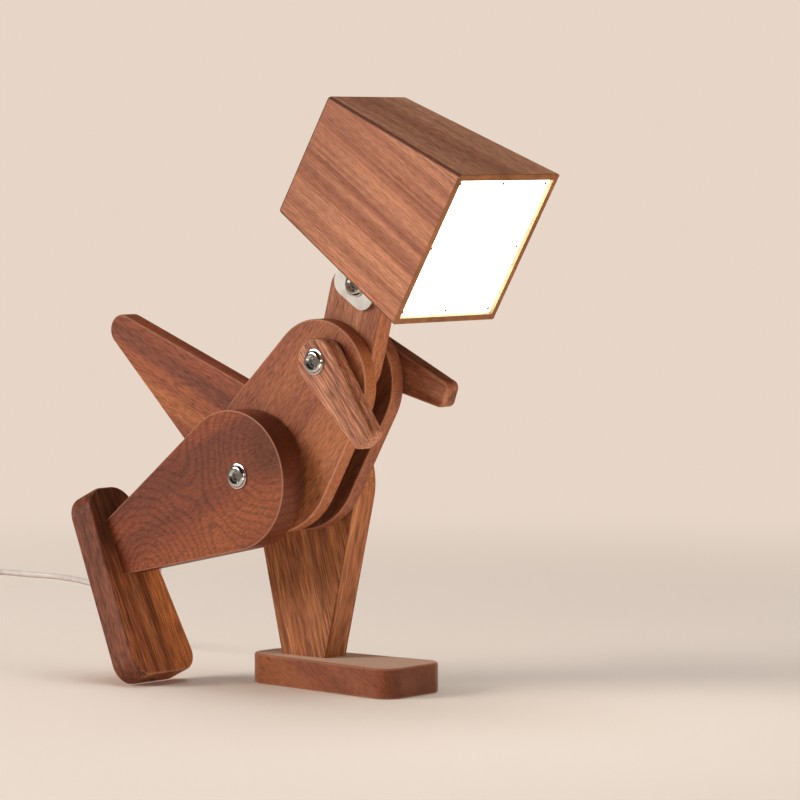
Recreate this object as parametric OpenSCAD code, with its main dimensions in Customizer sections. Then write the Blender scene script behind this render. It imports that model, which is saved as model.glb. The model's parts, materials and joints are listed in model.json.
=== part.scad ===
// Wooden dinosaur desk lamp with a tilting lit head, swinging neck, arms, tail and legs.
// +X is forward, +Y is the lamp's left and +Z is up; the floor is z = 0.

/* [Layers] */
// Thickness of the neck and of the tail, which share the middle layer
mid_t = 11.2; // [8:0.2:16]
// Thickness of each side plate of the torso
plate_t = 9.2; // [7.6:0.2:14]
// Thickness of each thigh
thigh_t = 16.6; // [12:0.2:22]
// Thickness of each arm
arm_t = 10.2; // [7:0.2:16]
// Thickness of the fibre washers beside the middle layer
inner_washer_t = 0.4; // [0.3:0.1:1]
// Thickness of the washers under the arms and thighs
outer_washer_t = 1.9; // [1:0.1:4]

/* [Torso] */
// Distance from the hip axis to the shoulder axis
axle_span = 77.5; // [72:0.5:90]
// Angle of the torso above the floor
body_pitch = 51.9; // [46:0.1:58]
// Radius of the round hip end of the side plates
plate_hip_r = 40.3; // [38:0.1:44]
// Distance of that round's centre up from the hip axis
plate_hip_up = 12.6; // [8:0.1:16]
// Radius of the round chest end of the side plates
plate_chest_r = 33.2; // [30:0.1:38]
// Distance of that round's centre down from the shoulder axis
plate_chest_down = 15; // [10:0.1:18]

/* [Neck] */
// Distance from the shoulder axis to the tilt axis
neck_len = 41; // [36:0.5:50]
// Width of the neck, front to back
neck_w = 36.6; // [32:0.2:38]
// Height of the neck's top edge above the tilt axis
neck_cap = 7; // [6:0.1:7.4]
// Radius of the neck's two top corners
neck_corner_r = 12; // [11:0.1:14]
// Forward lean of the neck
neck_lean = 15.1; // [6:0.1:24]

/* [Head] */
// Length of the head, back to front
head_depth = 102.5; // [90:0.5:115]
// Width of the head's front
head_front_w = 80; // [74:0.5:90]
// Height of the head's front
head_front_h = 86.9; // [80:0.1:94]
// Width of the head's back
head_back_w = 60.7; // [56:0.1:70]
// Height of the head's back
head_back_h = 68.6; // [62:0.1:74]
// Wall of the head's boards
head_wall = 3.5; // [3.4:0.1:6]
// Distance of the head's back behind the tilt axis
head_behind = 47.7; // [42:0.1:52]
// Downward tilt of the head
head_tilt = 30.2; // [20:0.1:34]
// Climb of the head's centre line from back to front, against that tilt
head_climb = 2.4; // [0:0.1:4]
// Distance from the tilt axis up to the head's underside
tilt_drop = 13.3; // [13:0.1:18]

/* [Light] */
// Thickness of the opal diffuser
diffuser_t = 3; // [2:0.1:4]
// Depth of the diffuser behind the front edge of the boards
diffuser_recess = 2; // [0.4:0.1:4]
// Width and depth of the ledge behind the diffuser
ledge_w = 4; // [3.4:0.1:6]
// Diameter of the brads that hold the diffuser
brad_d = 1; // [0.8:0.1:1.4]
// Width of the light board
led_board_w = 42; // [38:1:46]
// Height of the light board
led_board_h = 46; // [42:1:50]
// Thickness of the light board and of the driver board
circuit_t = 1.6; // [1:0.1:2]
// Light emitters along each side of the light board
led_side = 4; // [2:1:5]
// Spacing of the light emitters
led_pitch = 8; // [7:0.5:9]
// Length of the spacers that hold the light board off the back
spacer_len = 5; // [3:0.5:10]
// Diameter of the touch plate under the head's top
touch_d = 20; // [12:1:30]
// Distance of the touch plate forward of the tilt axis
touch_x = 16; // [0:1:30]

/* [Arms] */
// Distance from the shoulder axis to the end of the hand
arm_len = 53; // [46:0.5:56]
// Radius of the round shoulder end of an arm
arm_shoulder_r = 12.2; // [10:0.1:14]
// Width of the hand
arm_hand_w = 14.4; // [11:0.2:18]
// Radius of the hand's corners
arm_hand_r = 4; // [2:0.1:5]
// Downward slope of the right arm
right_arm_drop = 50; // [20:1:70]
// Downward slope of the left arm
left_arm_drop = 20; // [5:1:60]

/* [Tail] */
// Distance from the hip axis to the centre of the tail's round tip
tail_len = 132.5; // [125:0.5:150]
// Radius of the round root of the tail
tail_root_r = 33; // [28:0.5:36]
// Distance of that round's centre back from the hip axis
tail_root_back = 10; // [4:0.5:14]
// Radius of the tail's tip
tail_tip_r = 8.4; // [5:0.1:12]
// Upward slope of the tail
tail_rise = 32.8; // [20:0.2:45]

/* [Legs] */
// Distance from the hip axis to the top of the foot
leg_len = 98.9; // [98.5:0.1:120]
// Radius of the round hip end of a thigh
thigh_r = 36.7; // [32:0.1:42]
// Distance of that round's centre down from the hip axis
thigh_down = 5.8; // [2:0.1:10]
// Width of a thigh where it meets the foot
ankle_w = 31.2; // [26:0.2:40]
// Thickness of a foot
foot_t = 16; // [10:0.5:22]
// Length of a foot behind the leg's centre line
foot_heel = 34.5; // [28:0.5:40]
// Length of a foot ahead of the leg's centre line
foot_toe = 72.3; // [60:0.1:80]
// Width of a foot at the heel
heel_w = 34; // [30:0.5:38]
// Width of a foot at the toes
toe_w = 46.6; // [38:0.2:48]
// Radius of a foot's heel corners, seen from above
heel_r = 13; // [8:0.5:14.5]
// Radius of a foot's toe corners, seen from above
toe_r = 10.5; // [6:0.5:15]

/* [Hardware] */
// Shank diameter of the three bolts
axle_d = 6; // [5:0.5:6.5]
// Diameter of the flanged bolt and nut heads
axle_head_d = 13.2; // [12:0.1:16]
// Diameter of the flat on top of those heads
axle_top_d = 8.8; // [7:0.1:10]
// Height of those heads
axle_head_t = 2.4; // [2.2:0.1:4]
// Size of the hexagon sockets, across the flats
axle_hex = 4; // [3:0.5:5]
// Diameter of the sleeve nuts' barrels
sleeve_d = 8; // [7.6:0.1:10]
// Diameter of the washers under the arms and thighs
outer_washer_d = 22; // [18:1:24]
// Diameter of the fibre washers beside the middle layer
inner_washer_d = 18; // [14:1:24]
// Size of the tilt nut, across the flats
tilt_nut_af = 10; // [9.5:0.1:12]
// Thickness of the tilt nut
tilt_nut_t = 5; // [4:0.1:6]
// Thickness of the tilt bracket's steel
bracket_t = 1.6; // [1:0.1:2]
// Width of the tilt bracket's ears
ear_w = 28.6; // [24:0.2:32]
// Depth of the ears below the tilt axis
ear_drop = 10.2; // [8.4:0.1:12]
// Radius of the ears' lower corners
ear_corner_r = 8; // [5:0.1:10]
// Shank diameter of the foot screws
foot_screw_d = 4; // [3:0.5:5]
// Length of the foot screws
foot_screw_len = 38; // [28:1:50]
// Spacing of a foot's two screws
foot_screw_gap = 16; // [12:1:20]

/* [Cord] */
// Diameter of the cord
cord_d = 3.5; // [3:0.1:3.8]
// Diameter of the boot where the cord leaves the torso
boot_d = 6; // [5.4:0.1:7]
// Length of the boot outside the torso
boot_len = 16; // [12:0.5:20]
// Turns of the coil's lower layer, wound inwards
coil_turns_in = 3.5; // [2.5:1:4.5]
// Turns of the coil's upper layer, wound outwards
coil_turns_out = 3.25; // [2.25:1:4.25]
// Radius of the coil at the middle of its turns
coil_mid_r = 19; // [18:0.5:21]
// Spacing of turns in a layer
coil_pitch = 4.7; // [4.6:0.1:5]
// Height of a layer
coil_layer = 4.1; // [4:0.1:5]
// Width of the plug's moulded grip
plug_w = 15; // [14:0.5:18]
// Height of the plug's moulded grip
plug_h = 9; // [8:0.5:12]
// Length of the plug's moulded grip
plug_len = 24; // [18:1:32]

/* [Hidden] */
$fn = 96;

walnut = "#8a5232";
chrome = "#d8d8dc";
steel = "#b9bcc0";
white = "#f2efe8";
fibre = "#2b2624";
board_green = "#2f5d46";

// Radial room round a shaft that turns, and the room between faces that turn on each other
bore_clear = 0.05;
face_gap = 0.1;
// Room round a part that is pushed in and stays
fit_clear = 0.1;
// How far a cut runs past the face that it leaves
over = 1;

// Layers, measured out from the lamp's middle plane
mid_y = mid_t / 2;
plate_y = mid_y + face_gap + inner_washer_t;
plate_out = plate_y + plate_t;
limb_y = plate_out + outer_washer_t + face_gap;
thigh_out = limb_y + thigh_t;
arm_out = limb_y + arm_t;
leg_mid = limb_y + thigh_t / 2;

// The shoulder seen from the hip, and the two rounds of a side plate
body_dir = [cos(body_pitch), sin(body_pitch)];
shoulder = axle_span * body_dir;
plate_hip_c = plate_hip_up * body_dir;
plate_chest_c = (axle_span - plate_chest_down) * body_dir;
plate_discs = [[plate_hip_c.x, plate_hip_c.y, plate_hip_r],
  [plate_chest_c.x, plate_chest_c.y, plate_chest_r]];

// The head's section grows steadily from back to front, round a centre line that climbs
head_x0 = -head_behind;
head_x1 = head_depth - head_behind;
head_growth = (head_front_h - head_back_h) / 2 / head_depth;
under_taper = atan(head_growth - tan(head_climb));
top_taper = atan(head_growth + tan(head_climb));
head_rise = tilt_drop / cos(under_taper) + half_h(0);
under_in = tilt_drop + head_wall * cos(under_taper);
diffuser_x1 = head_x1 - diffuser_recess;
diffuser_x0 = diffuser_x1 - diffuser_t;
back_z = mid_z(head_x0);

// The lamp stands on its left sole and on the toes of its right foot
hip_z = leg_len + foot_t;
right_leg_back = 2 * atan(foot_toe / hip_z);
// The hip lies where the tail tip and the head's top front edge are as far from the middle
tilt_x = shoulder.x + neck_len * sin(neck_lean);
head_top_z = mid_z(head_x1) + half_h(head_x1);
front_reach = tilt_x + head_x1 * cos(head_tilt) + head_top_z * sin(head_tilt);
tail_reach = tail_len * cos(tail_rise) + tail_tip_r;
hip_x = (tail_reach - front_reach) / 2;

// Bolts: how far each head and nut sits from the middle plane
hip_half = thigh_out + face_gap;
shoulder_half = arm_out + face_gap;
tilt_half = plate_y + bracket_t;
// Solid end of a sleeve nut under its head, and where its barrel stops short of the plate's inner face
sleeve_floor = 3;
sleeve_stop = 2;
// Domed head: its flange's thickness, its socket's depth and the dome's centre and radius
flange_t = 0.6;
socket_deep = 2;
dome_c = (axle_head_t + flange_t - (axle_head_d ^ 2 - axle_top_d ^ 2) / 4 / (axle_head_t - flange_t)) / 2;
dome_r = norm([axle_head_d / 2, flange_t - dome_c]);

// Lead slot in the left plate: a knee between the way out and the way up to the neck, from the hip
lead_y = plate_y + plate_t / 2;
lead_slot = cord_d + 0.3;
lead_knee = [-8, 20];
lead_top = [27, 60];
exit_angle = 205;
exit_dir = [cos(exit_angle), sin(exit_angle)];
rim_run = run_to_rim(lead_knee, exit_dir, plate_hip_c, plate_hip_r);
cord_exit = lead_knee + rim_run * exit_dir;
// The lead's bend at the knee: radius, steps, turn, how far from the knee it starts and its centre
lead_bend_r = 6;
lead_bend_steps = 4;
lead_up = lead_top - lead_knee;
lead_turn = atan2(lead_up.y, lead_up.x) - exit_angle + 180;
lead_short = lead_bend_r * tan(lead_turn / 2);
lead_bend_c = lead_knee + lead_short * exit_dir + lead_bend_r * [exit_dir.y, -exit_dir.x];
// Boot's stub beyond the rim, its depth in the plate and the wall at its thin end
boot_stub = 3;
boot_in = 8;
boot_wall = 0.7;

// Lead groove down the back of the neck, and where the lead enters the head
groove = cord_d + 0.4;
head_hole_ahead = 25;
head_hole_x = head_x0 + head_hole_ahead;
head_lead_below = 3;

// Countersunk screws: head diameter and cone depth as shares of the shank
csk_wide = 1.9;
csk_deep = 0.6;
bracket_screw_d = 2.5;
bracket_screw_gap = 13;
led_screw_d = 2.2;
led_screw_head = 4;
led_screw_in = 3;
led_inset = 3.2;

// Light emitters, driver and touch plate
led_size = [0.8, 2.8, 3.5];
driver_size = [30, 22];
driver_ahead = 33;
driver_x = head_x0 + driver_ahead;
driver_lift = 2;
touch_t = 0.4;
// Driver parts: place from the driver's middle and size
driver_blocks = [[[8, 4], [8, 7, 3]], [[8, -6], [6, 5, 1.6]], [[-1, 0], [5, 5, 2.2]]];
brad_head_d = 1.6;
brad_head_t = 0.3;
brad_len = 5.5;
brad_inset = 2.2;

// Coil: it starts past the left edge of the usual view and winds inwards, then outwards
coil_c = [-575, 280];
tie_t = 0.8;
tie_gap = 0.3;
tie_w = 7;
tie_angle = 315;
coil_r_in = coil_mid_r - coil_pitch * coil_turns_in / 2;
coil_r_out = coil_r_in + coil_pitch * coil_turns_in;
coil_turns = coil_turns_in + 0.5 + coil_turns_out;
coil_z = cord_d / 2 + tie_t + tie_gap;
coil_start_angle = 90;
coil_rings = 24;
coil_sides = 6;
// The coil's end leaves straight: runs from the last turn, each with the share of the drop to the plug
coil_leave_run = 28;
coil_leave = [[6, 0], [13, 0.05], [18, 0.5], [23, 0.95], [coil_leave_run, 1], [coil_leave_run + cord_d, 1]];

// Cord on its way: heights are of its centre, and the last stretch lies on the floor
cord_sides = 8;
lie = cord_d / 2 + 0.15;
straight_out = 8;
route = [[-90, 12, 102], [-113, 20, 84], [-136, 34, 62], [-160, 52, 38], [-182, 76, 17], [-205, 100, 6],
  [-232, 125, 2.6], [-272, 162, lie], [-320, 206, lie], [-370, 247, lie], [-420, 280, lie],
  [-464, 301, lie], [-494, 309, lie], [-520, 307, lie], [-545, 306, lie]];
ring_step = 2.6 * cord_d;

// Plug: tapered neck, moulded grip and metal shell with its tongue
plug_neck = 10;
plug_neck_d = 6.4;
plug_corner = 3;
shell_size = [12, 4.5];
shell_len = 16;
shell_in = 6;
shell_wall = 0.4;
tongue_size = [10, 1.8];

// Half width, half height and middle of the head at a distance forward of the tilt axis
function half_w(x) = (head_back_w + (head_front_w - head_back_w) * (x - head_x0) / head_depth) / 2;
function half_h(x) = (head_back_h + (head_front_h - head_back_h) * (x - head_x0) / head_depth) / 2;
function mid_z(x) = head_rise + x * tan(head_climb);

// Corner of the head's section, drawn in by an inset
function corner(x, s, inset) = [x, s.x * (half_w(x) - inset), mid_z(x) + s.y * (half_h(x) - inset)];
function section(x, inset) = [for (s = [[-1, -1], [1, -1], [1, 1], [-1, 1]]) corner(x, s, inset)];
function wall_section(x, a, b) =
  [corner(x, a, 0), corner(x, b, 0), corner(x, b, head_wall), corner(x, a, head_wall)];

// Low side of a layer on the left (side 1) or the right (side -1)
function layer(side, y, t) = side > 0 ? y : -y - t;

// Outward normal of the tangent that runs from disc a to disc b, with the discs listed anticlockwise
function tangent_normal(a, b) =
  let (d = [b.x - a.x, b.y - a.y], l = norm(d), u = d / l, k = (a.z - b.z) / l)
  sqrt(1 - k * k) * [u.y, -u.x] + k * u;

// Distance from a point inside a circle to its rim along a direction
function run_to_rim(p, dir, c, r) =
  let (q = p - c, along = q * dir)
  sqrt(along * along - q * q + r * r) - along;

function unit(v) = v / norm(v);

// Smooth curve through points, with about one ring for each step of length
function between(p, i, t) =
  let (a = p[max(i - 1, 0)], b = p[i], c = p[i + 1], d = p[min(i + 2, len(p) - 1)])
  0.5 * (2 * b + (c - a) * t + (2 * a - 5 * b + 4 * c - d) * t * t + (3 * b - a - 3 * c + d) * t * t * t);
function smooth(p, step) = concat([for (i = [0 : len(p) - 2])
  let (n = max(1, round(norm(p[i + 1] - p[i]) / step)))
  for (j = [0 : n - 1]) between(p, i, j / n)], [p[len(p) - 1]]);

// Ring of points round a path's point, level with the floor on its two sides
function ring_at(p, i, r, sides) =
  let (
    t = unit(p[min(i + 1, len(p) - 1)] - p[max(i - 1, 0)]),
    s = unit(cross(t, [0, 0, 1])),
    u = cross(s, t))
  [for (k = [0 : sides - 1]) p[i] + r * (cos(360 * k / sides) * s + sin(360 * k / sides) * u)];

// Least distance between stretches of a path that are half a turn or more apart, less the diameter
function self_gap(p, apart, d) =
  min([for (i = [0 : len(p) - 1 - apart]) for (j = [i + apart : len(p) - 1]) norm(p[j] - p[i])]) - d;

// Coil: radius and height after some turns, then the path with its straight ends
function coil_r(t) = t < coil_turns_in ? coil_r_out - coil_pitch * t :
  coil_r_in + coil_pitch * max(0, t - coil_turns_in - 0.5);
function coil_h(t) = coil_z + coil_layer * min(1, max(0, 2 * (t - coil_turns_in)));
function coil_at(t) =
  let (a = coil_start_angle + 360 * t)
  [coil_c.x + coil_r(t) * cos(a), coil_c.y + coil_r(t) * sin(a), coil_h(t)];
function coil_path() =
  let (
    last = coil_at(coil_turns),
    a = coil_start_angle + 360 * coil_turns,
    way = [-sin(a), cos(a)],
    drop = plug_h / 2 - last.z)
  concat(
    [coil_at(0) + [cord_d, 0, 0]],
    [for (k = [0 : coil_turns * coil_rings]) coil_at(k / coil_rings)],
    [for (e = coil_leave) [last.x + e.x * way.x, last.y + e.x * way.y, last.z + e.y * drop]]);
coil_line = coil_path();
coil_end = coil_line[len(coil_line) - 1];
plug_turn = coil_start_angle + 360 * coil_turns;
exit_3d = [hip_x + cord_exit.x, lead_y, hip_z + cord_exit.y];
exit_way = [exit_dir.x, 0, exit_dir.y];
cord_start = exit_3d + boot_len * exit_way;
lead_bend = [for (k = [0 : lead_bend_steps])
  let (a = exit_angle + 90 + lead_turn * k / lead_bend_steps)
  lead_bend_c + lead_bend_r * [cos(a), sin(a)]];
lead_line = concat([cord_start],
  [for (p = concat(lead_bend, [lead_top])) [hip_x + p.x, lead_y, hip_z + p.y]]);
cord_line = smooth(concat([cord_start, cord_start + straight_out * exit_way], route,
  [coil_line[0] + [3 * cord_d, 0, 0], coil_line[0] + [cord_d, 0, 0], coil_line[0]]), ring_step);
function path_length(p) = norm([for (i = [1 : len(p) - 1]) sqrt(norm(p[i] - p[i - 1]))]) ^ 2;
echo(coil_gap = self_gap(coil_line, coil_rings / 2, cord_d));
echo(cord_length = path_length(cord_line) + path_length(coil_line), cord_rings = len(cord_line));

// Frames: each moves its children to a joint of the lamp
module at_hip() {
  translate([hip_x, 0, hip_z])
    children();
}
module at_shoulder() {
  at_hip()
    translate([shoulder.x, 0, shoulder.y])
      children();
}
module neck_frame() {
  at_shoulder()
    rotate([0, neck_lean, 0])
      children();
}
module head_frame() {
  neck_frame()
    translate([0, 0, neck_len])
      rotate([0, head_tilt - neck_lean, 0])
        children();
}
// The head's frame turned square to its underside
module under_frame() {
  head_frame()
    rotate([0, under_taper, 0])
      children();
}
module boot_frame() {
  at_hip()
    translate([cord_exit.x, lead_y, cord_exit.y])
      rotate([0, 90 - exit_angle, 0])
        children();
}

// Outline round a set of discs, listed anticlockwise as [x, y, radius]
module outline(discs) {
  n = len(discs);
  for (c = discs) {
    if (c.z > 0) {
      translate([c.x, c.y])
        circle(r = c.z);
    }
  }
  polygon([for (i = [0 : n - 1])
    let (a = discs[i], b = discs[(i + 1) % n], m = tangent_normal(a, b))
    each [[a.x, a.y] + a.z * m, [b.x, b.y] + b.z * m]]);
}

// Upright board whose face is an outline, from y on by its thickness
module upright(discs, y, t) {
  translate([0, y + t, 0])
    rotate([90, 0, 0])
      linear_extrude(t)
        outline(discs);
}

// Hole across the lamp
module cross_hole(d) {
  rotate([90, 0, 0])
    cylinder(d = d, h = 3 * hip_half, center = true);
}

// Six-sided block between two sections
module block(a, b) {
  polyhedron(concat(a, b),
    [[0, 1, 2, 3], [4, 5, 1, 0], [7, 6, 5, 4], [5, 6, 2, 1], [6, 7, 3, 2], [7, 4, 0, 3]]);
}

// Closed tube along a path
module tube(p, r, sides) {
  n = len(p);
  points = [for (i = [0 : n - 1]) each ring_at(p, i, r, sides)];
  walls = [for (i = [0 : n - 2]) for (k = [0 : sides - 1])
    let (a = i * sides + k, b = i * sides + (k + 1) % sides)
    each [[a, b, b + sides], [a, b + sides, a + sides]]];
  first = [for (k = [1 : sides - 2]) [0, k + 1, k]];
  last = [for (k = [1 : sides - 2]) (n - 1) * sides * [1, 1, 1] + [0, k, k + 1]];
  polyhedron(points, concat(walls, first, last), convexity = 10);
}

module ring(d_out, d_in, t) {
  difference() {
    cylinder(d = d_out, h = t);
    translate([0, 0, -over])
      cylinder(d = d_in, h = t + 2 * over);
  }
}

module countersunk_screw(d, length) {
  cylinder(d1 = csk_wide * d, d2 = d, h = csk_deep * d);
  cylinder(d = d, h = length);
}
module countersunk_hole(d, length) {
  cylinder(d1 = csk_wide * d + 2 * fit_clear, d2 = d + 2 * fit_clear, h = csk_deep * d);
  translate([0, 0, -over])
    cylinder(d = d + 2 * fit_clear, h = length + over);
}

// Flanged domed head with a flat top and a hexagon socket
module cap_head() {
  difference() {
    intersection() {
      cylinder(d = axle_head_d, h = axle_head_t);
      translate([0, 0, dome_c])
        sphere(r = dome_r);
    }
    translate([0, 0, axle_head_t - socket_deep])
      cylinder(d = axle_hex / cos(30), h = axle_head_t, $fn = 6);
  }
}

// Bolt across the lamp with its head on the right
module cross_bolt(half, shank_end) {
  color(chrome) {
    translate([0, -half, 0])
      rotate([90, 0, 0])
        cap_head();
    translate([0, -half, 0])
      rotate([-90, 0, 0])
        cylinder(d = axle_d, h = half + shank_end);
  }
}

module axle_bolt(half) {
  cross_bolt(half, half - sleeve_floor - over);
}

// Sleeve nut on the left whose barrel runs into the left plate
module sleeve_nut(half) {
  barrel = half - plate_y - sleeve_stop;
  color(chrome)
    translate([0, half, 0])
      rotate([-90, 0, 0]) {
        cap_head();
        difference() {
          translate([0, 0, -barrel])
            cylinder(d = sleeve_d, h = barrel);
          translate([0, 0, -barrel - over])
            cylinder(d = axle_d + 2 * fit_clear, h = barrel - sleeve_floor + over);
        }
      }
}

// Torso
module side_plate(side, hole_d) {
  difference() {
    upright(plate_discs, layer(side, plate_y, plate_t), plate_t);
    cross_hole(hole_d);
    translate([shoulder.x, 0, shoulder.y])
      cross_hole(hole_d);
  }
}
module lead_cut(a, b) {
  upright([[a.x, a.y, lead_slot / 2], [b.x, b.y, lead_slot / 2]], plate_y - over,
    lead_y + lead_slot / 2 - plate_y + over);
}
module left_plate() {
  color(walnut)
    difference() {
      at_hip()
        difference() {
          side_plate(1, sleeve_d + 2 * bore_clear);
          lead_cut(lead_knee, cord_exit - boot_in * exit_dir);
          lead_cut(lead_knee, lead_top);
        }
      boot_frame()
        translate([0, 0, -boot_in])
          cylinder(d = boot_d + 2 * fit_clear, h = boot_in + boot_len);
    }
}
module right_plate() {
  color(walnut)
    at_hip()
      side_plate(-1, axle_d + 2 * bore_clear);
}
module hip_bolt() {
  at_hip()
    axle_bolt(hip_half);
}
module hip_nut() {
  at_hip()
    sleeve_nut(hip_half);
}
module shoulder_bolt() {
  at_shoulder()
    axle_bolt(shoulder_half);
}
module shoulder_nut() {
  at_shoulder()
    sleeve_nut(shoulder_half);
}
module washer_pair(y, d_out, d_in, t) {
  for (side = [-1, 1]) {
    translate([0, layer(side, y, t), 0])
      rotate([-90, 0, 0])
        ring(d_out, d_in, t);
  }
}
module outer_washers() {
  color(fibre) {
    at_hip()
      washer_pair(plate_out, outer_washer_d, sleeve_d + 2 * fit_clear, outer_washer_t);
    at_shoulder()
      washer_pair(plate_out, outer_washer_d, sleeve_d + 2 * fit_clear, outer_washer_t);
  }
}
module inner_washers() {
  color(fibre) {
    at_hip()
      washer_pair(plate_y - inner_washer_t, inner_washer_d, axle_d + 2 * fit_clear, inner_washer_t);
    at_shoulder()
      washer_pair(plate_y - inner_washer_t, inner_washer_d, axle_d + 2 * fit_clear, inner_washer_t);
  }
}
module cord_boot() {
  color(white)
    boot_frame()
      difference() {
        union() {
          translate([0, 0, -boot_in])
            cylinder(d = boot_d, h = boot_in + boot_stub);
          translate([0, 0, boot_stub])
            cylinder(d1 = boot_d, d2 = cord_d + 2 * boot_wall, h = boot_len - boot_stub);
        }
        translate([0, 0, -boot_in - over])
          cylinder(d = cord_d + 2 * bore_clear, h = boot_in + boot_len + 2 * over);
      }
}
module body_lead() {
  color(white)
    tube(lead_line, cord_d / 2, cord_sides);
}

// Neck
module neck() {
  side = neck_w / 2 - neck_corner_r;
  top = neck_len + neck_cap - neck_corner_r;
  color(walnut)
    neck_frame()
      difference() {
        upright([[0, 0, neck_w / 2], [side, top, neck_corner_r], [-side, top, neck_corner_r]],
          -mid_y, mid_t);
        cross_hole(axle_d + 2 * bore_clear);
        translate([0, 0, neck_len])
          cross_hole(axle_d + 2 * bore_clear);
        translate([-neck_w / 2 - over, -groove / 2, -neck_w])
          cube([groove + over, groove, neck_len + 2 * neck_w]);
      }
}
module neck_lead() {
  color(white)
    neck_frame()
      translate([(groove - neck_w) / 2 + (groove - cord_d) / 2, 0, 0])
        cylinder(d = cord_d, h = neck_len);
}

// Head boards, mitred along the edges
module head_board(a, b) {
  block(wall_section(head_x0, a, b), wall_section(head_x1, a, b));
}
module head_top() {
  color(walnut)
    head_frame()
      head_board([1, 1], [-1, 1]);
}
module head_bottom() {
  color(walnut)
    difference() {
      head_frame()
        head_board([-1, -1], [1, -1]);
      under_frame() {
        translate([head_hole_x, 0, tilt_drop - over])
          cylinder(d = cord_d + 2 * fit_clear, h = head_wall + 2 * over);
        for (x = [-1, 1] * bracket_screw_gap / 2) {
          translate([x, 0, tilt_drop - over])
            cylinder(d = bracket_screw_d + 2 * fit_clear, h = head_wall + 2 * over);
        }
      }
    }
}
module head_left() {
  color(walnut)
    head_frame()
      head_board([1, -1], [1, 1]);
}
module head_right() {
  color(walnut)
    head_frame()
      head_board([-1, 1], [-1, -1]);
}
module led_corners() {
  for (y = [-1, 1] * (led_board_w / 2 - led_inset)) {
    for (z = [-1, 1] * (led_board_h / 2 - led_inset)) {
      translate([head_x0 + head_wall, y, back_z + z])
        rotate([0, 90, 0])
          children();
    }
  }
}
module head_back() {
  color(walnut)
    head_frame()
      difference() {
        block(section(head_x0, head_wall), section(head_x0 + head_wall, head_wall));
        led_corners()
          translate([0, 0, -led_screw_in])
            cylinder(d = led_screw_d + 2 * fit_clear, h = led_screw_in + over);
      }
}

// Diffuser, held by brads to a ledge inside the front of the boards
module brad_places() {
  w = half_w(diffuser_x0) - head_wall - brad_inset;
  h = half_h(diffuser_x0) - head_wall - brad_inset;
  for (y = [-1, 0, 1]) {
    for (z = [-1, 0, 1]) {
      if (y != 0 || z != 0) {
        translate([diffuser_x1, y * w, mid_z(diffuser_x0) + z * h])
          rotate([0, 90, 0])
            children();
      }
    }
  }
}
module diffuser() {
  color(white)
    head_frame()
      difference() {
        block(section(diffuser_x0, head_wall + fit_clear), section(diffuser_x1, head_wall + fit_clear));
        brad_places()
          cylinder(d = brad_d + 2 * fit_clear, h = 4 * diffuser_t, center = true);
      }
}
module diffuser_ledge() {
  color(white)
    head_frame()
      difference() {
        block(section(diffuser_x0 - ledge_w, head_wall), section(diffuser_x0, head_wall));
        block(section(diffuser_x0 - ledge_w - over, head_wall + ledge_w),
          section(diffuser_x0 + over, head_wall + ledge_w));
        brad_places()
          translate([0, 0, -diffuser_t - brad_len])
            cylinder(d = brad_d + 2 * fit_clear, h = diffuser_t + brad_len);
      }
}
module diffuser_brads() {
  color(steel)
    head_frame()
      brad_places() {
        translate([0, 0, -brad_len])
          cylinder(d = brad_d, h = brad_len);
        cylinder(d = brad_head_d, h = brad_head_t);
      }
}

// Light board on spacers in front of the back
module led_board() {
  color(white)
    head_frame()
      difference() {
        translate([head_x0 + head_wall + spacer_len, -led_board_w / 2, back_z - led_board_h / 2])
          cube([circuit_t, led_board_w, led_board_h]);
        led_corners()
          cylinder(d = led_screw_d + 2 * fit_clear, h = spacer_len + 2 * circuit_t);
      }
}
module led_emitters() {
  mid = (led_side - 1) / 2;
  color("#ffe9b0")
    head_frame()
      for (i = [0 : led_side - 1]) {
        for (j = [0 : led_side - 1]) {
          translate([head_x0 + head_wall + spacer_len + circuit_t, (i - mid) * led_pitch - led_size.y / 2,
              back_z + (j - mid) * led_pitch - led_size.z / 2])
            cube(led_size);
        }
      }
}
module led_spacers() {
  color(fibre)
    head_frame()
      led_corners()
        ring(led_screw_head, led_screw_d + 2 * fit_clear, spacer_len);
}
module led_screws() {
  color(steel)
    head_frame()
      led_corners() {
        translate([0, 0, -led_screw_in])
          cylinder(d = led_screw_d, h = led_screw_in + spacer_len + circuit_t);
        translate([0, 0, spacer_len + circuit_t])
          cylinder(d = led_screw_head, h = led_screw_d / 2);
      }
}

// Driver board on a pad inside the underside, where the lead comes in
module driver_slab(z, t) {
  under_frame()
    difference() {
      translate([driver_x - driver_size.x / 2, -driver_size.y / 2, under_in + z])
        cube([driver_size.x, driver_size.y, t]);
      translate([head_hole_x, 0, under_in])
        cylinder(d = cord_d + 2 * fit_clear, h = driver_lift + 2 * circuit_t);
    }
}
module driver_pad() {
  color(fibre)
    driver_slab(0, driver_lift);
}
module driver_board() {
  color(board_green)
    driver_slab(driver_lift, circuit_t);
}
module driver_parts() {
  color(fibre)
    under_frame()
      for (b = driver_blocks) {
        translate([driver_x + b[0].x - b[1].x / 2, b[0].y - b[1].y / 2, under_in + driver_lift + circuit_t])
          cube(b[1]);
      }
}
module touch_plate() {
  color("#c98a4b")
    head_frame()
      translate([touch_x, 0, mid_z(touch_x) + half_h(touch_x) - head_wall])
        rotate([0, -top_taper, 0])
          translate([0, 0, -touch_t])
            cylinder(d = touch_d, h = touch_t);
}
module head_lead() {
  color(white)
    under_frame()
      translate([head_hole_x, 0, tilt_drop - head_lead_below])
        cylinder(d = cord_d, h = under_in - tilt_drop + head_lead_below + driver_lift + 2 * circuit_t);
}

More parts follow.
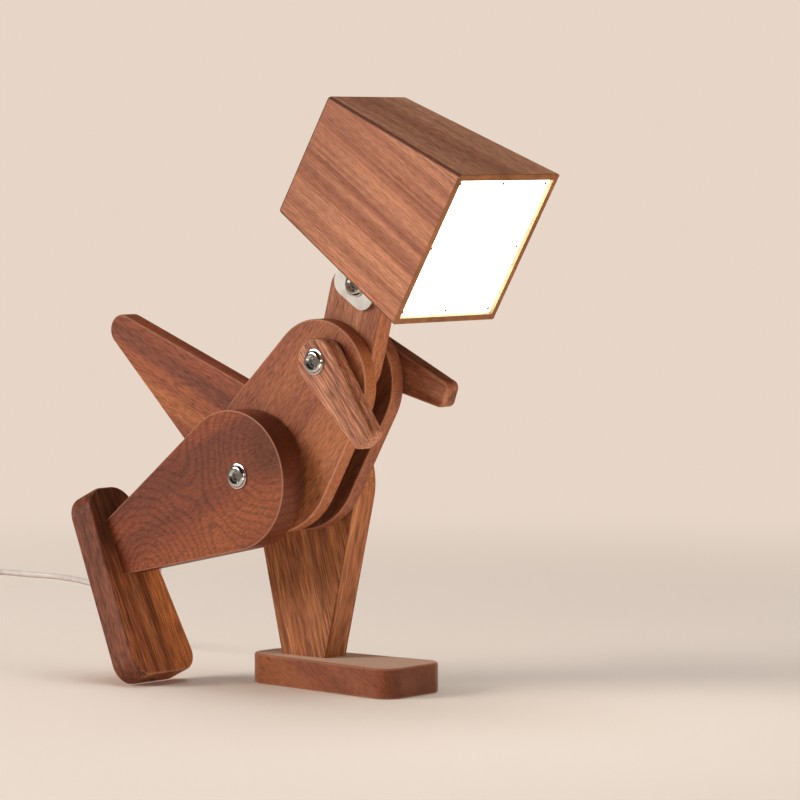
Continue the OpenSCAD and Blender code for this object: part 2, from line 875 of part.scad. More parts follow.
// Steel bracket under the head that straddles the neck
module tilt_bracket() {
  side = ear_w / 2 - ear_corner_r;
  low = ear_corner_r - ear_drop;
  ear = [[-side, low, ear_corner_r], [side, low, ear_corner_r],
    [ear_w / 2, tilt_drop, 0], [-ear_w / 2, tilt_drop, 0]];
  color(steel)
    under_frame()
      difference() {
        union() {
          for (way = [-1, 1]) {
            upright(ear, layer(way, plate_y, bracket_t), bracket_t);
          }
          translate([-ear_w / 2, -tilt_half, tilt_drop - bracket_t])
            cube([ear_w, 2 * tilt_half, bracket_t]);
        }
        cross_hole(axle_d + 2 * bore_clear);
        for (x = [-1, 1] * bracket_screw_gap / 2) {
          translate([x, 0, tilt_drop - bracket_t])
            countersunk_hole(bracket_screw_d, bracket_t + over);
        }
      }
}
module bracket_screws() {
  color(steel)
    under_frame()
      for (x = [-1, 1] * bracket_screw_gap / 2) {
        translate([x, 0, tilt_drop - bracket_t])
          countersunk_screw(bracket_screw_d, bracket_t + head_wall * cos(under_taper));
      }
}
module tilt_bolt() {
  under_frame()
    cross_bolt(tilt_half, tilt_half + tilt_nut_t);
}
module tilt_nut() {
  color(chrome)
    under_frame()
      translate([0, tilt_half, 0])
        rotate([-90, 0, 0])
          difference() {
            cylinder(d = tilt_nut_af / cos(30), h = tilt_nut_t, $fn = 6);
            translate([0, 0, -over])
              cylinder(d = axle_d + 2 * bore_clear, h = tilt_nut_t + 2 * over);
          }
}
module tilt_washers() {
  color(fibre)
    under_frame()
      washer_pair(plate_y - inner_washer_t, inner_washer_d, axle_d + 2 * fit_clear, inner_washer_t);
}

// Arms and tail
module arm(side, drop, hole_d) {
  end = arm_len - arm_hand_r;
  half = arm_hand_w / 2 - arm_hand_r;
  color(walnut)
    at_shoulder()
      rotate([0, drop, 0])
        difference() {
          upright([[0, 0, arm_shoulder_r], [end, -half, arm_hand_r], [end, half, arm_hand_r]],
            layer(side, limb_y, arm_t), arm_t);
          cross_hole(hole_d);
        }
}
module left_arm() {
  arm(1, left_arm_drop, sleeve_d + 2 * bore_clear);
}
module right_arm() {
  arm(-1, right_arm_drop, axle_d + 2 * bore_clear);
}
module tail() {
  color(walnut)
    at_hip()
      rotate([0, tail_rise - 180, 0])
        difference() {
          upright([[tail_root_back, 0, tail_root_r], [tail_len, 0, tail_tip_r]], -mid_y, mid_t);
          cross_hole(axle_d + 2 * bore_clear);
        }
}

// Legs: a thigh screwed to its foot from below
module leg_frame(back) {
  at_hip()
    rotate([0, back, 0])
      children();
}
module foot_screw_places(side) {
  for (x = [-1, 1] * foot_screw_gap / 2) {
    translate([x, side * leg_mid, -hip_z])
      children();
  }
}
module thigh(side, back, hole_d) {
  color(walnut)
    leg_frame(back)
      difference() {
        upright([[0, -thigh_down, thigh_r], [-ankle_w / 2, -leg_len, 0], [ankle_w / 2, -leg_len, 0]],
          layer(side, limb_y, thigh_t), thigh_t);
        cross_hole(hole_d);
        foot_screw_places(side)
          cylinder(d = foot_screw_d + 2 * fit_clear, h = foot_screw_len + over);
      }
}
module foot(side, back) {
  heel = heel_w / 2 - heel_r;
  toe = toe_w / 2 - toe_r;
  x0 = heel_r - foot_heel;
  x1 = foot_toe - toe_r;
  color(walnut)
    leg_frame(back)
      difference() {
        translate([0, side * leg_mid, -hip_z])
          linear_extrude(foot_t)
            outline([[x0, -heel, heel_r], [x1, -toe, toe_r], [x1, toe, toe_r], [x0, heel, heel_r]]);
        foot_screw_places(side)
          countersunk_hole(foot_screw_d, foot_t + over);
      }
}
module foot_screws(side, back) {
  color(steel)
    leg_frame(back)
      foot_screw_places(side)
        countersunk_screw(foot_screw_d, foot_screw_len);
}
module left_thigh() {
  thigh(1, 0, sleeve_d + 2 * bore_clear);
}
module left_foot() {
  foot(1, 0);
}
module left_foot_screws() {
  foot_screws(1, 0);
}
module right_thigh() {
  thigh(-1, right_leg_back, axle_d + 2 * bore_clear);
}
module right_foot() {
  foot(-1, right_leg_back);
}
module right_foot_screws() {
  foot_screws(-1, right_leg_back);
}

// Cord, its put-away coil and the plug
module cord() {
  color(white)
    tube(cord_line, cord_d / 2, cord_sides);
}
module cord_coil() {
  color(white)
    tube(coil_line, cord_d / 2, coil_sides);
}
module coil_tie() {
  r0 = coil_r_in - cord_d / 2 - tie_gap - tie_t - over;
  r1 = coil_r_out + cord_d / 2 + tie_gap + tie_t;
  top = coil_z + coil_layer + cord_d / 2 + tie_gap + tie_t;
  color(fibre)
    translate([coil_c.x, coil_c.y, 0])
      rotate([0, 0, tie_angle])
        difference() {
          translate([r0, -tie_w / 2, 0])
            cube([r1 - r0, tie_w, top]);
          translate([r0 + tie_t, -tie_w / 2 - over, tie_t])
            cube([r1 - r0 - 2 * tie_t, tie_w + 2 * over, top - 2 * tie_t]);
        }
}
// The plug's frame: +Z runs from the cord's end to the plug's tip
module plug_frame() {
  translate([coil_end.x, coil_end.y, plug_h / 2])
    rotate([0, 0, plug_turn])
      rotate([-90, 0, 0])
        children();
}
module plug_shell_outer(wall, length) {
  linear_extrude(length)
    square([shell_size.x - 2 * wall, shell_size.y - 2 * wall], center = true);
}
module plug_grip() {
  x = plug_w / 2 - plug_corner;
  y = plug_h / 2 - plug_corner;
  color(white)
    plug_frame()
      difference() {
        union() {
          cylinder(d1 = cord_d + 2 * boot_wall, d2 = plug_neck_d, h = plug_neck);
          translate([0, 0, plug_neck])
            linear_extrude(plug_len)
              outline([for (s = [[-1, -1], [1, -1], [1, 1], [-1, 1]]) [s.x * x, s.y * y, plug_corner]]);
        }
        translate([0, 0, plug_neck + plug_len - shell_in])
          plug_shell_outer(-fit_clear, shell_in + over);
      }
}
module plug_shell() {
  color(steel)
    plug_frame()
      translate([0, 0, plug_neck + plug_len - shell_in])
        difference() {
          plug_shell_outer(0, shell_in + shell_len);
          translate([0, 0, shell_wall])
            plug_shell_outer(shell_wall, shell_in + shell_len);
        }
}
module plug_tongue() {
  color(white)
    plug_frame()
      translate([0, (shell_size.y - tongue_size.y) / 2 - shell_wall,
          plug_neck + plug_len - shell_in + shell_wall])
        linear_extrude(shell_in + shell_len - 2 * shell_wall)
          square(tongue_size, center = true);
}

left_plate();
right_plate();
hip_bolt();
hip_nut();
shoulder_bolt();
shoulder_nut();
outer_washers();
inner_washers();
cord_boot();
body_lead();
neck();
neck_lead();
head_top();
head_bottom();
head_left();
head_right();
head_back();
diffuser();
diffuser_ledge();
diffuser_brads();
led_board();
led_emitters();
led_spacers();
led_screws();
driver_pad();
driver_board();
driver_parts();
touch_plate();
head_lead();
tilt_bracket();
bracket_screws();
tilt_bolt();
tilt_nut();
tilt_washers();
left_arm();
right_arm();
tail();
left_thigh();
left_foot();
left_foot_screws();
right_thigh();
right_foot();
right_foot_screws();
cord();
cord_coil();
coil_tie();
plug_grip();
plug_shell();
plug_tongue();
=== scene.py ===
import json
import math

import bmesh
import bpy
from mathutils import Matrix, Vector


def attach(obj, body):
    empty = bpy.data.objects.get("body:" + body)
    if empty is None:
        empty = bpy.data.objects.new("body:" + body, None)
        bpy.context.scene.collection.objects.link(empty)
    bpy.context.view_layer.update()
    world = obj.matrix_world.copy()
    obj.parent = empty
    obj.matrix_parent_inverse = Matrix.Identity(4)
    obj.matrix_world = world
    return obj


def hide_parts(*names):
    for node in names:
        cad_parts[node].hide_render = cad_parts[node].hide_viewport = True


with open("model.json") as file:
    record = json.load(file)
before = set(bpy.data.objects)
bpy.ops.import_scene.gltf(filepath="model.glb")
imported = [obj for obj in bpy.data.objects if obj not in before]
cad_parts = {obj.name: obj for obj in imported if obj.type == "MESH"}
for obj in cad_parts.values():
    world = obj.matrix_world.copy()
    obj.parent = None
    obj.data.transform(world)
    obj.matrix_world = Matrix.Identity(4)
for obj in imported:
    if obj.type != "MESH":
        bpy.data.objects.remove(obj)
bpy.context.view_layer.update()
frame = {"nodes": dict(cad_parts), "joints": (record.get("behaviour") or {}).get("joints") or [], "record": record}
nodes = frame["nodes"]


# small helpers: sizes are written in millimetres, angles in degrees
def mm(*sizes):
    return sizes[0] / 1000 if len(sizes) == 1 else tuple(s / 1000 for s in sizes)


def jointAt(name):
    return Vector(next(j["pos_m"] for j in frame["joints"] if j["name"] == name))


def linear(code):
    # sRGB hex to the linear colour that shaders take
    parts = [int(code[i:i + 2], 16) / 255 for i in (1, 3, 5)]
    return tuple(c / 12.92 if c < 0.04045 else ((c + 0.055) / 1.055) ** 2.4 for c in parts) + (1.0,)


def deselect():
    bpy.ops.object.select_all(action="DESELECT")


def leaveEdit():
    bpy.ops.object.mode_set(mode="OBJECT")


def fixPlace():
    # puts the place, turn and size of what is selected into its mesh
    bpy.ops.object.transform_apply()


def only(piece):
    # operators act on all that is selected, so one piece is picked by itself
    if bpy.context.mode != "OBJECT":
        leaveEdit()
    deselect()
    piece.select_set(True)
    bpy.context.view_layer.objects.active = piece


def edit(piece, kind):
    only(piece)
    bpy.ops.object.mode_set(mode="EDIT")
    bpy.ops.mesh.select_mode(type=kind)


def pick(piece, what, test):
    # selects edges or faces in edit mode by their place or normal
    bpy.ops.mesh.select_all(action="DESELECT")
    mesh = bmesh.from_edit_mesh(piece.data)
    for item in getattr(mesh, what):
        if test(item):
            item.select_set(True)
    bmesh.update_edit_mesh(piece.data)


def applied(piece, kind, **settings):
    only(piece)
    bpy.ops.object.modifier_add(type=kind)
    modifier = piece.modifiers[-1]
    for key, value in settings.items():
        setattr(modifier, key, value)
    bpy.ops.object.modifier_apply(modifier=modifier.name)


def joined(parts):
    deselect()
    for part in parts:
        part.select_set(True)
    bpy.context.view_layer.objects.active = parts[0]
    bpy.ops.object.join()
    return parts[0]


def cut(piece, cutter):
    applied(piece, "BOOLEAN", operation="DIFFERENCE", solver="EXACT", object=cutter)
    bpy.data.objects.remove(cutter)


def angles(turn):
    return [math.radians(a) for a in turn]


def rod(radius, length, at, turn=(90, 0, 0), sides=64):
    # round bar across the lamp unless turned, used as a drill or as a start
    bpy.ops.mesh.primitive_cylinder_add(vertices=sides, radius=mm(radius), depth=mm(length), location=mm(*at),
                                        rotation=angles(turn))
    return bpy.context.object


def bar(size, at, turn=(0, 0, 0)):
    # square bar, used as a saw, a mill or a start
    bpy.ops.mesh.primitive_cube_add(size=1, location=mm(*at), rotation=angles(turn), scale=mm(*size))
    return bpy.context.object


def roundOver(board, width, steps, wanted):
    edit(board, "EDGE")
    pick(board, "edges", wanted)
    bpy.ops.mesh.bevel(offset=mm(width), segments=steps, clamp_overlap=True)
    leaveEdit()


def settle(piece, turn=(0, 0, 0), place=(0, 0, 0), smooth=35):
    # turns and moves a finished piece to its joint, and leaves its object at the origin
    only(piece)
    piece.rotation_euler = angles(turn)
    piece.location = place
    fixPlace()
    bpy.ops.object.shade_smooth_by_angle(angle=math.radians(smooth))
    applied(piece, "WEIGHTED_NORMAL", keep_sharp=True, weight=100)


def seat(piece, node, body, material):
    piece.data.materials.clear()
    piece.data.materials.append(material)
    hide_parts(node)
    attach(piece, body)


hip, shoulder, tilt = jointAt("tail_swing"), jointAt("neck_swing"), jointAt("head_tilt")
# layers, out from the lamp's middle plane
layer = {"middle": 5.6, "plate": 6.1, "plateOut": 15.3, "limb": 17.3, "armOut": 27.5, "thighOut": 33.9}
# radius of a board's bore: bolts come in from the right, their wider sleeve nuts from the left
bores = {-1: 3.05, 1: 4.05}
upright = (0, 0, 0)  # the turn of a rod that stands
through = 80  # a drill that goes right through
past = 1  # a mill starts this far outside the board
facing = 0.99  # a normal with this share along an axis looks along it
roundSides = 128  # of a board's round corners

# camera, where the photographer stood: a long lens a little above the torso
camera = {"at": (1438.92, -1613.25, 290.48), "down": 3.62, "round": 40.43, "lens": 186.3}
bpy.ops.object.camera_add(location=mm(*camera["at"]), rotation=angles((90 - camera["down"], 0, camera["round"])))
bpy.context.scene.camera = bpy.context.object
bpy.context.object.data.lens = camera["lens"]
bpy.context.scene.view_settings.view_transform = "Standard"
print("camera set")


# materials
noiseSpan = {"From Min": 0.3, "From Max": 0.7}  # where the values of a noise mostly lie


def feed(tree, node, inputs):
    # each socket takes a link or a value of its own
    for socket, value in inputs.items():
        if isinstance(value, bpy.types.NodeSocket):
            tree.links.new(value, node.inputs[socket])
        else:
            node.inputs[socket].default_value = value


def addNode(tree, kind, inputs=None, stops=(), **settings):
    node = tree.nodes.new("ShaderNode" + kind)
    for key, value in settings.items():
        setattr(node, key, value)
    feed(tree, node, inputs or {})
    for i, (place, colour) in enumerate(stops):
        ramp = node.color_ramp.elements
        mark = ramp[i] if i < 2 else ramp.new(place)
        mark.position, mark.color = place, colour
    return node


def newMaterial(name, **values):
    # a principled shader with its fixed values set on its own sockets
    material = bpy.data.materials.new(name)
    material.use_nodes = True
    tree = material.node_tree
    shader = tree.nodes["Principled BSDF"]
    feed(tree, shader, {socket.replace("_", " "): value for socket, value in values.items()})
    return material, tree, shader


def grey(level):
    return (level, level, level, 1.0)


def walnut(name, look):
    # oiled walnut, planed and sanded: half matt, broad dark streaks, and short open pores that lie thickly along
    # the grain as fine dark dashes
    material, tree, shader = newMaterial(name, Specular_IOR_Level=look["gloss"], Sheen_Weight=look["sheen"],
                                         Sheen_Roughness=0.4, Sheen_Tint=linear("#ffe2cc"))
    place = addNode(tree, "TexCoord")
    turned = addNode(tree, "Mapping", {"Vector": place.outputs["Object"],
                     "Rotation": angles(look["grain"]), "Location": mm(*look["pith"])})
    # everything is drawn out along the grain, which is x from here on
    drawn = addNode(tree, "Mapping", {"Vector": turned.outputs[0], "Scale": (look["draw"], 1, 1)})
    broad = addNode(tree, "TexNoise", {"Vector": drawn.outputs[0], "Scale": 1 / mm(look["broad"])})
    streaks = addNode(tree, "TexNoise", {"Vector": drawn.outputs[0], "Scale": 1 / mm(look["streak"]),
                      "Detail": 3.0, "Roughness": 0.6})
    both = addNode(tree, "Mix", {0: look["streakShare"], 2: broad.outputs["Fac"], 3: streaks.outputs["Fac"]})
    dark, mid, light = (linear(tone) for tone in look["tones"])
    tones = addNode(tree, "ValToRGB", {"Fac": both.outputs[0]},
                    stops=[(0.5 - look["spread"], dark), (0.5 + look["spread"], light), (0.5, mid)])
    colour = tones.outputs["Color"]
    across = addNode(tree, "SeparateXYZ", {0: turned.outputs[0]})
    for band in look["bands"]:
        # a band of another tone, ragged and soft at its edges
        ragged = addNode(tree, "Math", {0: streaks.outputs["Fac"], 1: mm(band["ragged"]),
                         2: across.outputs[band["across"]]}, operation="MULTIPLY_ADD")
        off = addNode(tree, "Math", {0: ragged.outputs[0], 1: mm(band["at"] + band["ragged"] / 2)},
                      operation="SUBTRACT")
        away = addNode(tree, "Math", {0: off.outputs[0]}, operation="ABSOLUTE")
        share = addNode(tree, "MapRange", {"Value": away.outputs[0], "From Min": mm(1.4 * band["half"]),
                        "From Max": mm(0.6 * band["half"]), "To Max": band["share"]},
                        interpolation_type="SMOOTHSTEP")
        mixed = addNode(tree, "Mix", {0: share.outputs[0], 6: colour, 7: linear(band["colour"])},
                        data_type="RGBA")
        colour = mixed.outputs[2]
    # real pores are 0.2 mm wide: they are drawn twice as wide so that they show
    dashed = addNode(tree, "Mapping", {"Vector": turned.outputs[0], "Scale": (look["dash"], 1, 1)})
    pores = addNode(tree, "TexNoise", {"Vector": dashed.outputs[0], "Scale": 1 / mm(look["pore"]), "Detail": 1.0})
    shade = addNode(tree, "MapRange", {"Value": pores.outputs["Fac"], "From Min": look["poreSpan"][0],
                    "From Max": look["poreSpan"][1], "To Min": 1 + 0.5 * look["poreShare"],
                    "To Max": 1 - look["poreShare"]})
    fibres = addNode(tree, "TexNoise", {"Vector": drawn.outputs[0], "Scale": 1 / mm(look["fibre"]),
                     "Roughness": 0.6})
    glint = addNode(tree, "MapRange", {"Value": fibres.outputs["Fac"], **noiseSpan,
                    "To Min": 1 - look["fibreShare"], "To Max": 1 + look["fibreShare"]})
    level = addNode(tree, "Math", {0: shade.outputs[0], 1: glint.outputs[0]}, operation="MULTIPLY")
    if "rings" in look:
        # a board sawn near the middle of the tree shows its year rings as arcs, here about two hearts
        rings = look["rings"]
        wander = addNode(tree, "TexNoise", {"Vector": place.outputs["Object"], "Scale": 1 / mm(rings["bend"]),
                         "Detail": 1.5, "Roughness": 0.35})
        reach = [addNode(tree, "VectorMath", {0: place.outputs["Object"], 1: mm(*heart)},
                         operation="DISTANCE") for heart in rings["hearts"]]
        near = addNode(tree, "Math", {0: reach[0].outputs["Value"], 1: reach[1].outputs["Value"],
                       2: mm(rings["merge"])}, operation="SMOOTH_MIN")
        strayed = addNode(tree, "Math", {0: wander.outputs["Fac"], 1: mm(rings["wander"]), 2: near.outputs[0]},
                          operation="MULTIPLY_ADD")
        years = addNode(tree, "Math", {0: strayed.outputs[0], 1: 1 / mm(rings["apart"])}, operation="MULTIPLY")
        year = addNode(tree, "Math", {0: years.outputs[0]}, operation="FRACT")
        # each year darkens slowly to its late wood and ends in a sharp line
        late = grey(1 - rings["share"])
        lines = addNode(tree, "ValToRGB", {"Fac": year.outputs[0]},
                        stops=[(0.0, grey(1 - 0.4 * rings["share"])), (1.0, late), (0.2, grey(1)), (0.6, grey(1)),
                               (0.9, late)])
        # the lines fade into a dark knot at the first heart
        knot = addNode(tree, "MapRange", {"Value": reach[0].outputs["Value"], "From Min": mm(rings["knot"][0]),
                       "From Max": mm(rings["knot"][1])}, interpolation_type="SMOOTHSTEP")
        knotted = addNode(tree, "Mix", {0: knot.outputs[0], 2: rings["knotLevel"], 3: lines.outputs["Color"]})
        level = addNode(tree, "Math", {0: level.outputs[0], 1: knotted.outputs[0]}, operation="MULTIPLY")
    if "face" in look:
        # painted light and shade on what looks one way; at a toe or rim some of it is end grain
        face = look["face"]
        towards = addNode(tree, "VectorMath", {0: place.outputs["Normal"], 1: face["looks"]},
                          operation="DOT_PRODUCT")
        dim = addNode(tree, "MapRange", {"Value": towards.outputs["Value"], "From Min": face["over"][0],
                      "From Max": face["over"][1], "To Min": 1.0, "To Max": face["level"]})
        level = addNode(tree, "Math", {0: level.outputs[0], 1: dim.outputs[0]}, operation="MULTIPLY")
    wood = addNode(tree, "VectorMath", {0: colour, "Scale": level.outputs[0]}, operation="SCALE")
    # painted edges between faces and sides: a pale tone is painted highlight, a dark one painted shade
    square = addNode(tree, "VectorMath", {0: place.outputs["Normal"], 1: look["faces"]},
                     operation="DOT_PRODUCT")
    lean = addNode(tree, "Math", {0: square.outputs["Value"]}, operation="ABSOLUTE")
    side, rise, fall, flat = look["paintedEdgeRamp"]
    most = grey(look["paintedEdgeShare"])
    paintedEdgeRamp = addNode(tree, "ValToRGB", {"Fac": lean.outputs[0]},
                   stops=[(side, grey(0)), (flat, grey(0)), (rise, most), (fall, most)])
    withPaintedEdges = addNode(tree, "Mix", {0: paintedEdgeRamp.outputs["Color"], 6: wood.outputs[0], 7: linear(look["edge"])},
                     data_type="RGBA")
    rough = addNode(tree, "MapRange", {"Value": pores.outputs["Fac"], **noiseSpan, "To Min": look["rough"][0],
                    "To Max": look["rough"][1]})
    relief = addNode(tree, "Bump", {"Height": shade.outputs[0], "Strength": 0.2, "Distance": mm(look["poreDeep"])})
    feed(tree, shader, {"Base Color": withPaintedEdges.outputs[2], "Roughness": rough.outputs[0], "Normal": relief.outputs[0]})
    return material


def plated(name, colour, rough, spread):
    # polished plate over steel: sharp reflections with a trace of wiping marks
    material, tree, shader = newMaterial(name, Metallic=1.0, Base_Color=linear(colour))
    place = addNode(tree, "TexCoord")
    marks = addNode(tree, "TexNoise", {"Vector": place.outputs["Object"], "Scale": 1 / mm(6),
                    "Detail": 3.0, "Roughness": 0.6})
    level = addNode(tree, "MapRange", {"Value": marks.outputs["Fac"], **noiseSpan,
                    "To Min": rough, "To Max": rough + spread})
    feed(tree, shader, {"Roughness": level.outputs[0]})
    return material


def moulded(name, dark, light, rough, grain, depth):
    # a smooth surface with a faint cloud in its colour and a fine skin
    material, tree, shader = newMaterial(name)
    place = addNode(tree, "TexCoord")
    cloud = addNode(tree, "TexNoise", {"Vector": place.outputs["Object"], "Scale": 1 / mm(9),
                    "Detail": 3.0})
    tint = addNode(tree, "ValToRGB", {"Fac": cloud.outputs["Fac"]},
                   stops=[(0.35, linear(dark)), (0.65, linear(light))])
    skin = addNode(tree, "TexNoise", {"Vector": place.outputs["Object"], "Scale": 1 / mm(grain),
                   "Roughness": 0.6})
    level = addNode(tree, "MapRange", {"Value": skin.outputs["Fac"], **noiseSpan,
                    "To Min": rough - 0.05, "To Max": rough + 0.05})
    relief = addNode(tree, "Bump", {"Height": skin.outputs["Fac"], "Strength": 0.2, "Distance": mm(depth)})
    feed(tree, shader, {"Base Color": tint.outputs["Color"], "Roughness": level.outputs[0],
                        "Normal": relief.outputs[0]})
    return material


# cord: a limp white two-core lead, out of the left plate, down behind the foot, along the floor to its coil
cordLine = {"thick": 3.5, "rim": (-32.502, 10.7, 8.575), "exit": 205, "boot": 16, "straight": 8, "step": 3,
            "lie": 1.9, "coilMiddle": (-575, 280), "coilRadius": 19, "coilPitch": 4.7, "coilLayer": 4.1,
            "coilLow": 2.85, "turnsIn": 3.5, "turnsOut": 3.25, "perTurn": 48, "plugHigh": 4.5}
lie = cordLine["lie"]
cordWay = [(-90, 12, 102), (-113, 20, 84), (-136, 34, 62), (-160, 52, 38), (-182, 76, 17), (-205, 100, 6),
           (-232, 125, 2.6), (-272, 162, lie), (-320, 206, lie), (-370, 247, lie), (-420, 280, lie),
           (-464, 301, lie), (-494, 309, lie), (-520, 307, lie), (-545, 306, lie)]
# from the coil to its plug: the run in mm, and the share of the rise to the plug
coilLeave = [(6, 0), (13, 0.05), (18, 0.5), (23, 0.95), (28, 1), (31.5, 1)]


def smoothLine(points, step):
    # an even curve through all the points
    line = []
    for i in range(len(points) - 1):
        a, b, c, d = points[max(i - 1, 0)], points[i], points[i + 1], points[min(i + 2, len(points) - 1)]
        count = max(1, round((c - b).length / step))
        for j in range(count):
            t = j / count
            line.append(0.5 * (2 * b + (c - a) * t + (2 * a - 5 * b + 4 * c - d) * t ** 2
                               + (3 * b - a - 3 * c + d) * t ** 3))
    return line + [points[-1]]


def coilPoint(turn):
    # a flat spiral inwards, half a turn up, and a second layer outwards on it
    size = cordLine
    inner = size["coilRadius"] - size["coilPitch"] * size["turnsIn"] / 2
    if turn < size["turnsIn"]:
        radius = inner + size["coilPitch"] * (size["turnsIn"] - turn)
    else:
        radius = inner + size["coilPitch"] * max(0, turn - size["turnsIn"] - 0.5)
    climb = min(1, max(0, 2 * (turn - size["turnsIn"])))
    angle = math.radians(90 + 360 * turn)
    return Vector((size["coilMiddle"][0] + radius * math.cos(angle), size["coilMiddle"][1] + radius * math.sin(angle),
                   size["coilLow"] + size["coilLayer"] * climb))


out = Vector((math.cos(math.radians(cordLine["exit"])), 0, math.sin(math.radians(cordLine["exit"]))))
cordExit = hip * 1000 + Vector(cordLine["rim"]) + cordLine["boot"] * out
thick = Vector((cordLine["thick"], 0, 0))
coilStart = coilPoint(0) + thick
wayPoints = [cordExit, cordExit + cordLine["straight"] * out] + [Vector(p) for p in cordWay]
wayPoints += [coilStart + 3 * thick, coilStart + thick, coilStart]
turns = cordLine["turnsIn"] + 0.5 + cordLine["turnsOut"]
last = coilPoint(turns)
perTurn = cordLine["perTurn"]
cordPoints = smoothLine(wayPoints, cordLine["step"])
cordPoints += [coilPoint(k / perTurn) for k in range(int(turns * perTurn) + 1)]
cordPoints += [Vector((last.x, last.y - run, last.z + share * (cordLine["plugHigh"] - last.z)))
               for run, share in coilLeave]
curve = bpy.data.curves.new("cordLine", "CURVE")
curve.dimensions = "3D"
curve.bevel_depth = mm(cordLine["thick"] / 2)
curve.bevel_resolution = 4
curve.use_fill_caps = True
spline = curve.splines.new("POLY")
spline.points.add(len(cordPoints) - 1)
for point, at in zip(spline.points, cordPoints):
    point.co = (*mm(*at), 1)
cord = bpy.data.objects.new("whiteCord", curve)
bpy.context.scene.collection.objects.link(cord)
cordLength = sum((b - a).length for a, b in zip(cordPoints, cordPoints[1:]))
# soft PVC jacket: milky and half glossy
jacket = moulded("soft white PVC", "#cfc6c3", "#dcd5d2", 0.42, 0.5, 0.02)
cord.data.materials.append(jacket)
# tie: a loop of woven tape round the coil's turns, its end lapped over on top
tie = {"inner": 7.92, "outer": 30.07, "high": 9.8, "wide": 7, "thick": 0.8, "bend": 2.2, "turn": 315, "lap": 11,
       "lapThick": 0.6, "lapUp": 0.25, "lapIn": 4, "lapEdge": 0.25, "weft": 0.9}
strap = bar((tie["outer"] - tie["inner"], tie["wide"], tie["high"]),
            ((tie["outer"] + tie["inner"]) / 2, 0, tie["high"] / 2))
fixPlace()
strap.name = "wovenTie"
edit(strap, "FACE")
pick(strap, "faces", lambda f: abs(f.normal.y) > 0.9)
bpy.ops.mesh.delete(type="ONLY_FACE")
bpy.ops.mesh.select_mode(type="EDGE")
pick(strap, "edges", lambda e: abs(e.verts[0].co.y - e.verts[1].co.y) > mm(1))
bpy.ops.mesh.bevel(offset=mm(tie["bend"]), segments=6)
leaveEdit()
applied(strap, "SOLIDIFY", thickness=mm(tie["thick"]))
lapEnd = bar((tie["lap"], tie["wide"], tie["lapThick"]),
             (tie["outer"] - tie["lapIn"] - tie["lap"] / 2, 0, tie["high"] + tie["lapUp"]))
fixPlace()
roundOver(lapEnd, tie["lapEdge"], 2, lambda e: True)
settle(joined([strap, lapEnd]), (0, 0, tie["turn"]), mm(*cordLine["coilMiddle"], 0))
# woven nylon tape: matt black, ribbed across by its weft
tape, tree, shader = newMaterial("woven nylon tape", Roughness=0.85)
place = addNode(tree, "TexCoord")
weft = addNode(tree, "TexWave", {"Vector": place.outputs["Object"], "Scale": 0.314 / mm(tie["weft"]),
               "Distortion": 0.6, "Detail": 1.0}, bands_direction="DIAGONAL")
ribs = addNode(tree, "ValToRGB", {"Fac": weft.outputs["Fac"]},
               stops=[(0.2, linear("#101010")), (0.8, linear("#2a2a2a"))])
relief = addNode(tree, "Bump", {"Height": weft.outputs["Fac"], "Strength": 0.6, "Distance": mm(0.2)})
feed(tree, shader, {"Base Color": ribs.outputs["Color"], "Normal": relief.outputs[0]})
seat(strap, "coil_tie", "torso", tape)
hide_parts("cord", "cord_coil")
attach(cord, "torso")
print("cord laid, length in mm:", round(cordLength))


# boards: the round corners of the outline are hulled into one board, whose rims are then rounded over
def hulled(name, parts):
    board = joined(parts)
    fixPlace()
    board.name = name
    edit(board, "FACE")
    bpy.ops.mesh.select_all(action="SELECT")
    bpy.ops.mesh.convex_hull()
    bpy.ops.mesh.dissolve_limited(angle_limit=math.radians(0.4))
    leaveEdit()
    return board


def hullBoard(name, rounds, low, thick, ends=()):
    # a board across the lamp, from its lower y on
    parts = [rod(r, thick, (x, low + thick / 2, z), sides=roundSides) for x, z, r in rounds]
    parts += [bar((width, thick, 1), (x, low + thick / 2, z)) for x, z, width in ends]
    return hulled(name, parts)


def rimOf(axis, above=None):
    # edges between a face of the board and its side, above a height if one is given
    def wanted(e):
        flat = [abs(getattr(f.normal, axis)) > facing for f in e.link_faces]
        high = above is None or max(v.co.z for v in e.verts) > mm(above)
        return len(flat) == 2 and flat[0] != flat[1] and high
    return wanted


def drillBore(board, side, x=0, z=0):
    cut(board, rod(bores[side], through, (x, 0, z)))


# torso: two side plates with round ends, bored for the bolts, the left one slotted for the lead
torso = {"thick": 9.2, "pitch": 51.9, "span": 77.5, "hipUp": 12.6, "hipRound": 40.3, "chestDown": 15,
         "chestRound": 33.2, "edge": 1.0, "leadKnee": (-8, 20), "leadTop": (27, 60), "slot": 3.8, "bootHole": 6.2,
         "bootIn": 8}
up = Vector((math.cos(math.radians(torso["pitch"])), math.sin(math.radians(torso["pitch"]))))
shoulderOff = up * torso["span"]


def sidePlate(name, side):
    low = layer["plate"] if side > 0 else -layer["plateOut"]
    a, b = up * torso["hipUp"], up * (torso["span"] - torso["chestDown"])
    plate = hullBoard(name, [(a.x, a.y, torso["hipRound"]), (b.x, b.y, torso["chestRound"])], low, torso["thick"])
    roundOver(plate, torso["edge"], 4, rimOf("y"))
    drillBore(plate, side)
    drillBore(plate, side, shoulderOff.x, shoulderOff.y)
    return plate


rightPlate = sidePlate("walnutRightPlate", -1)
leftPlate = sidePlate("walnutLeftPlate", 1)
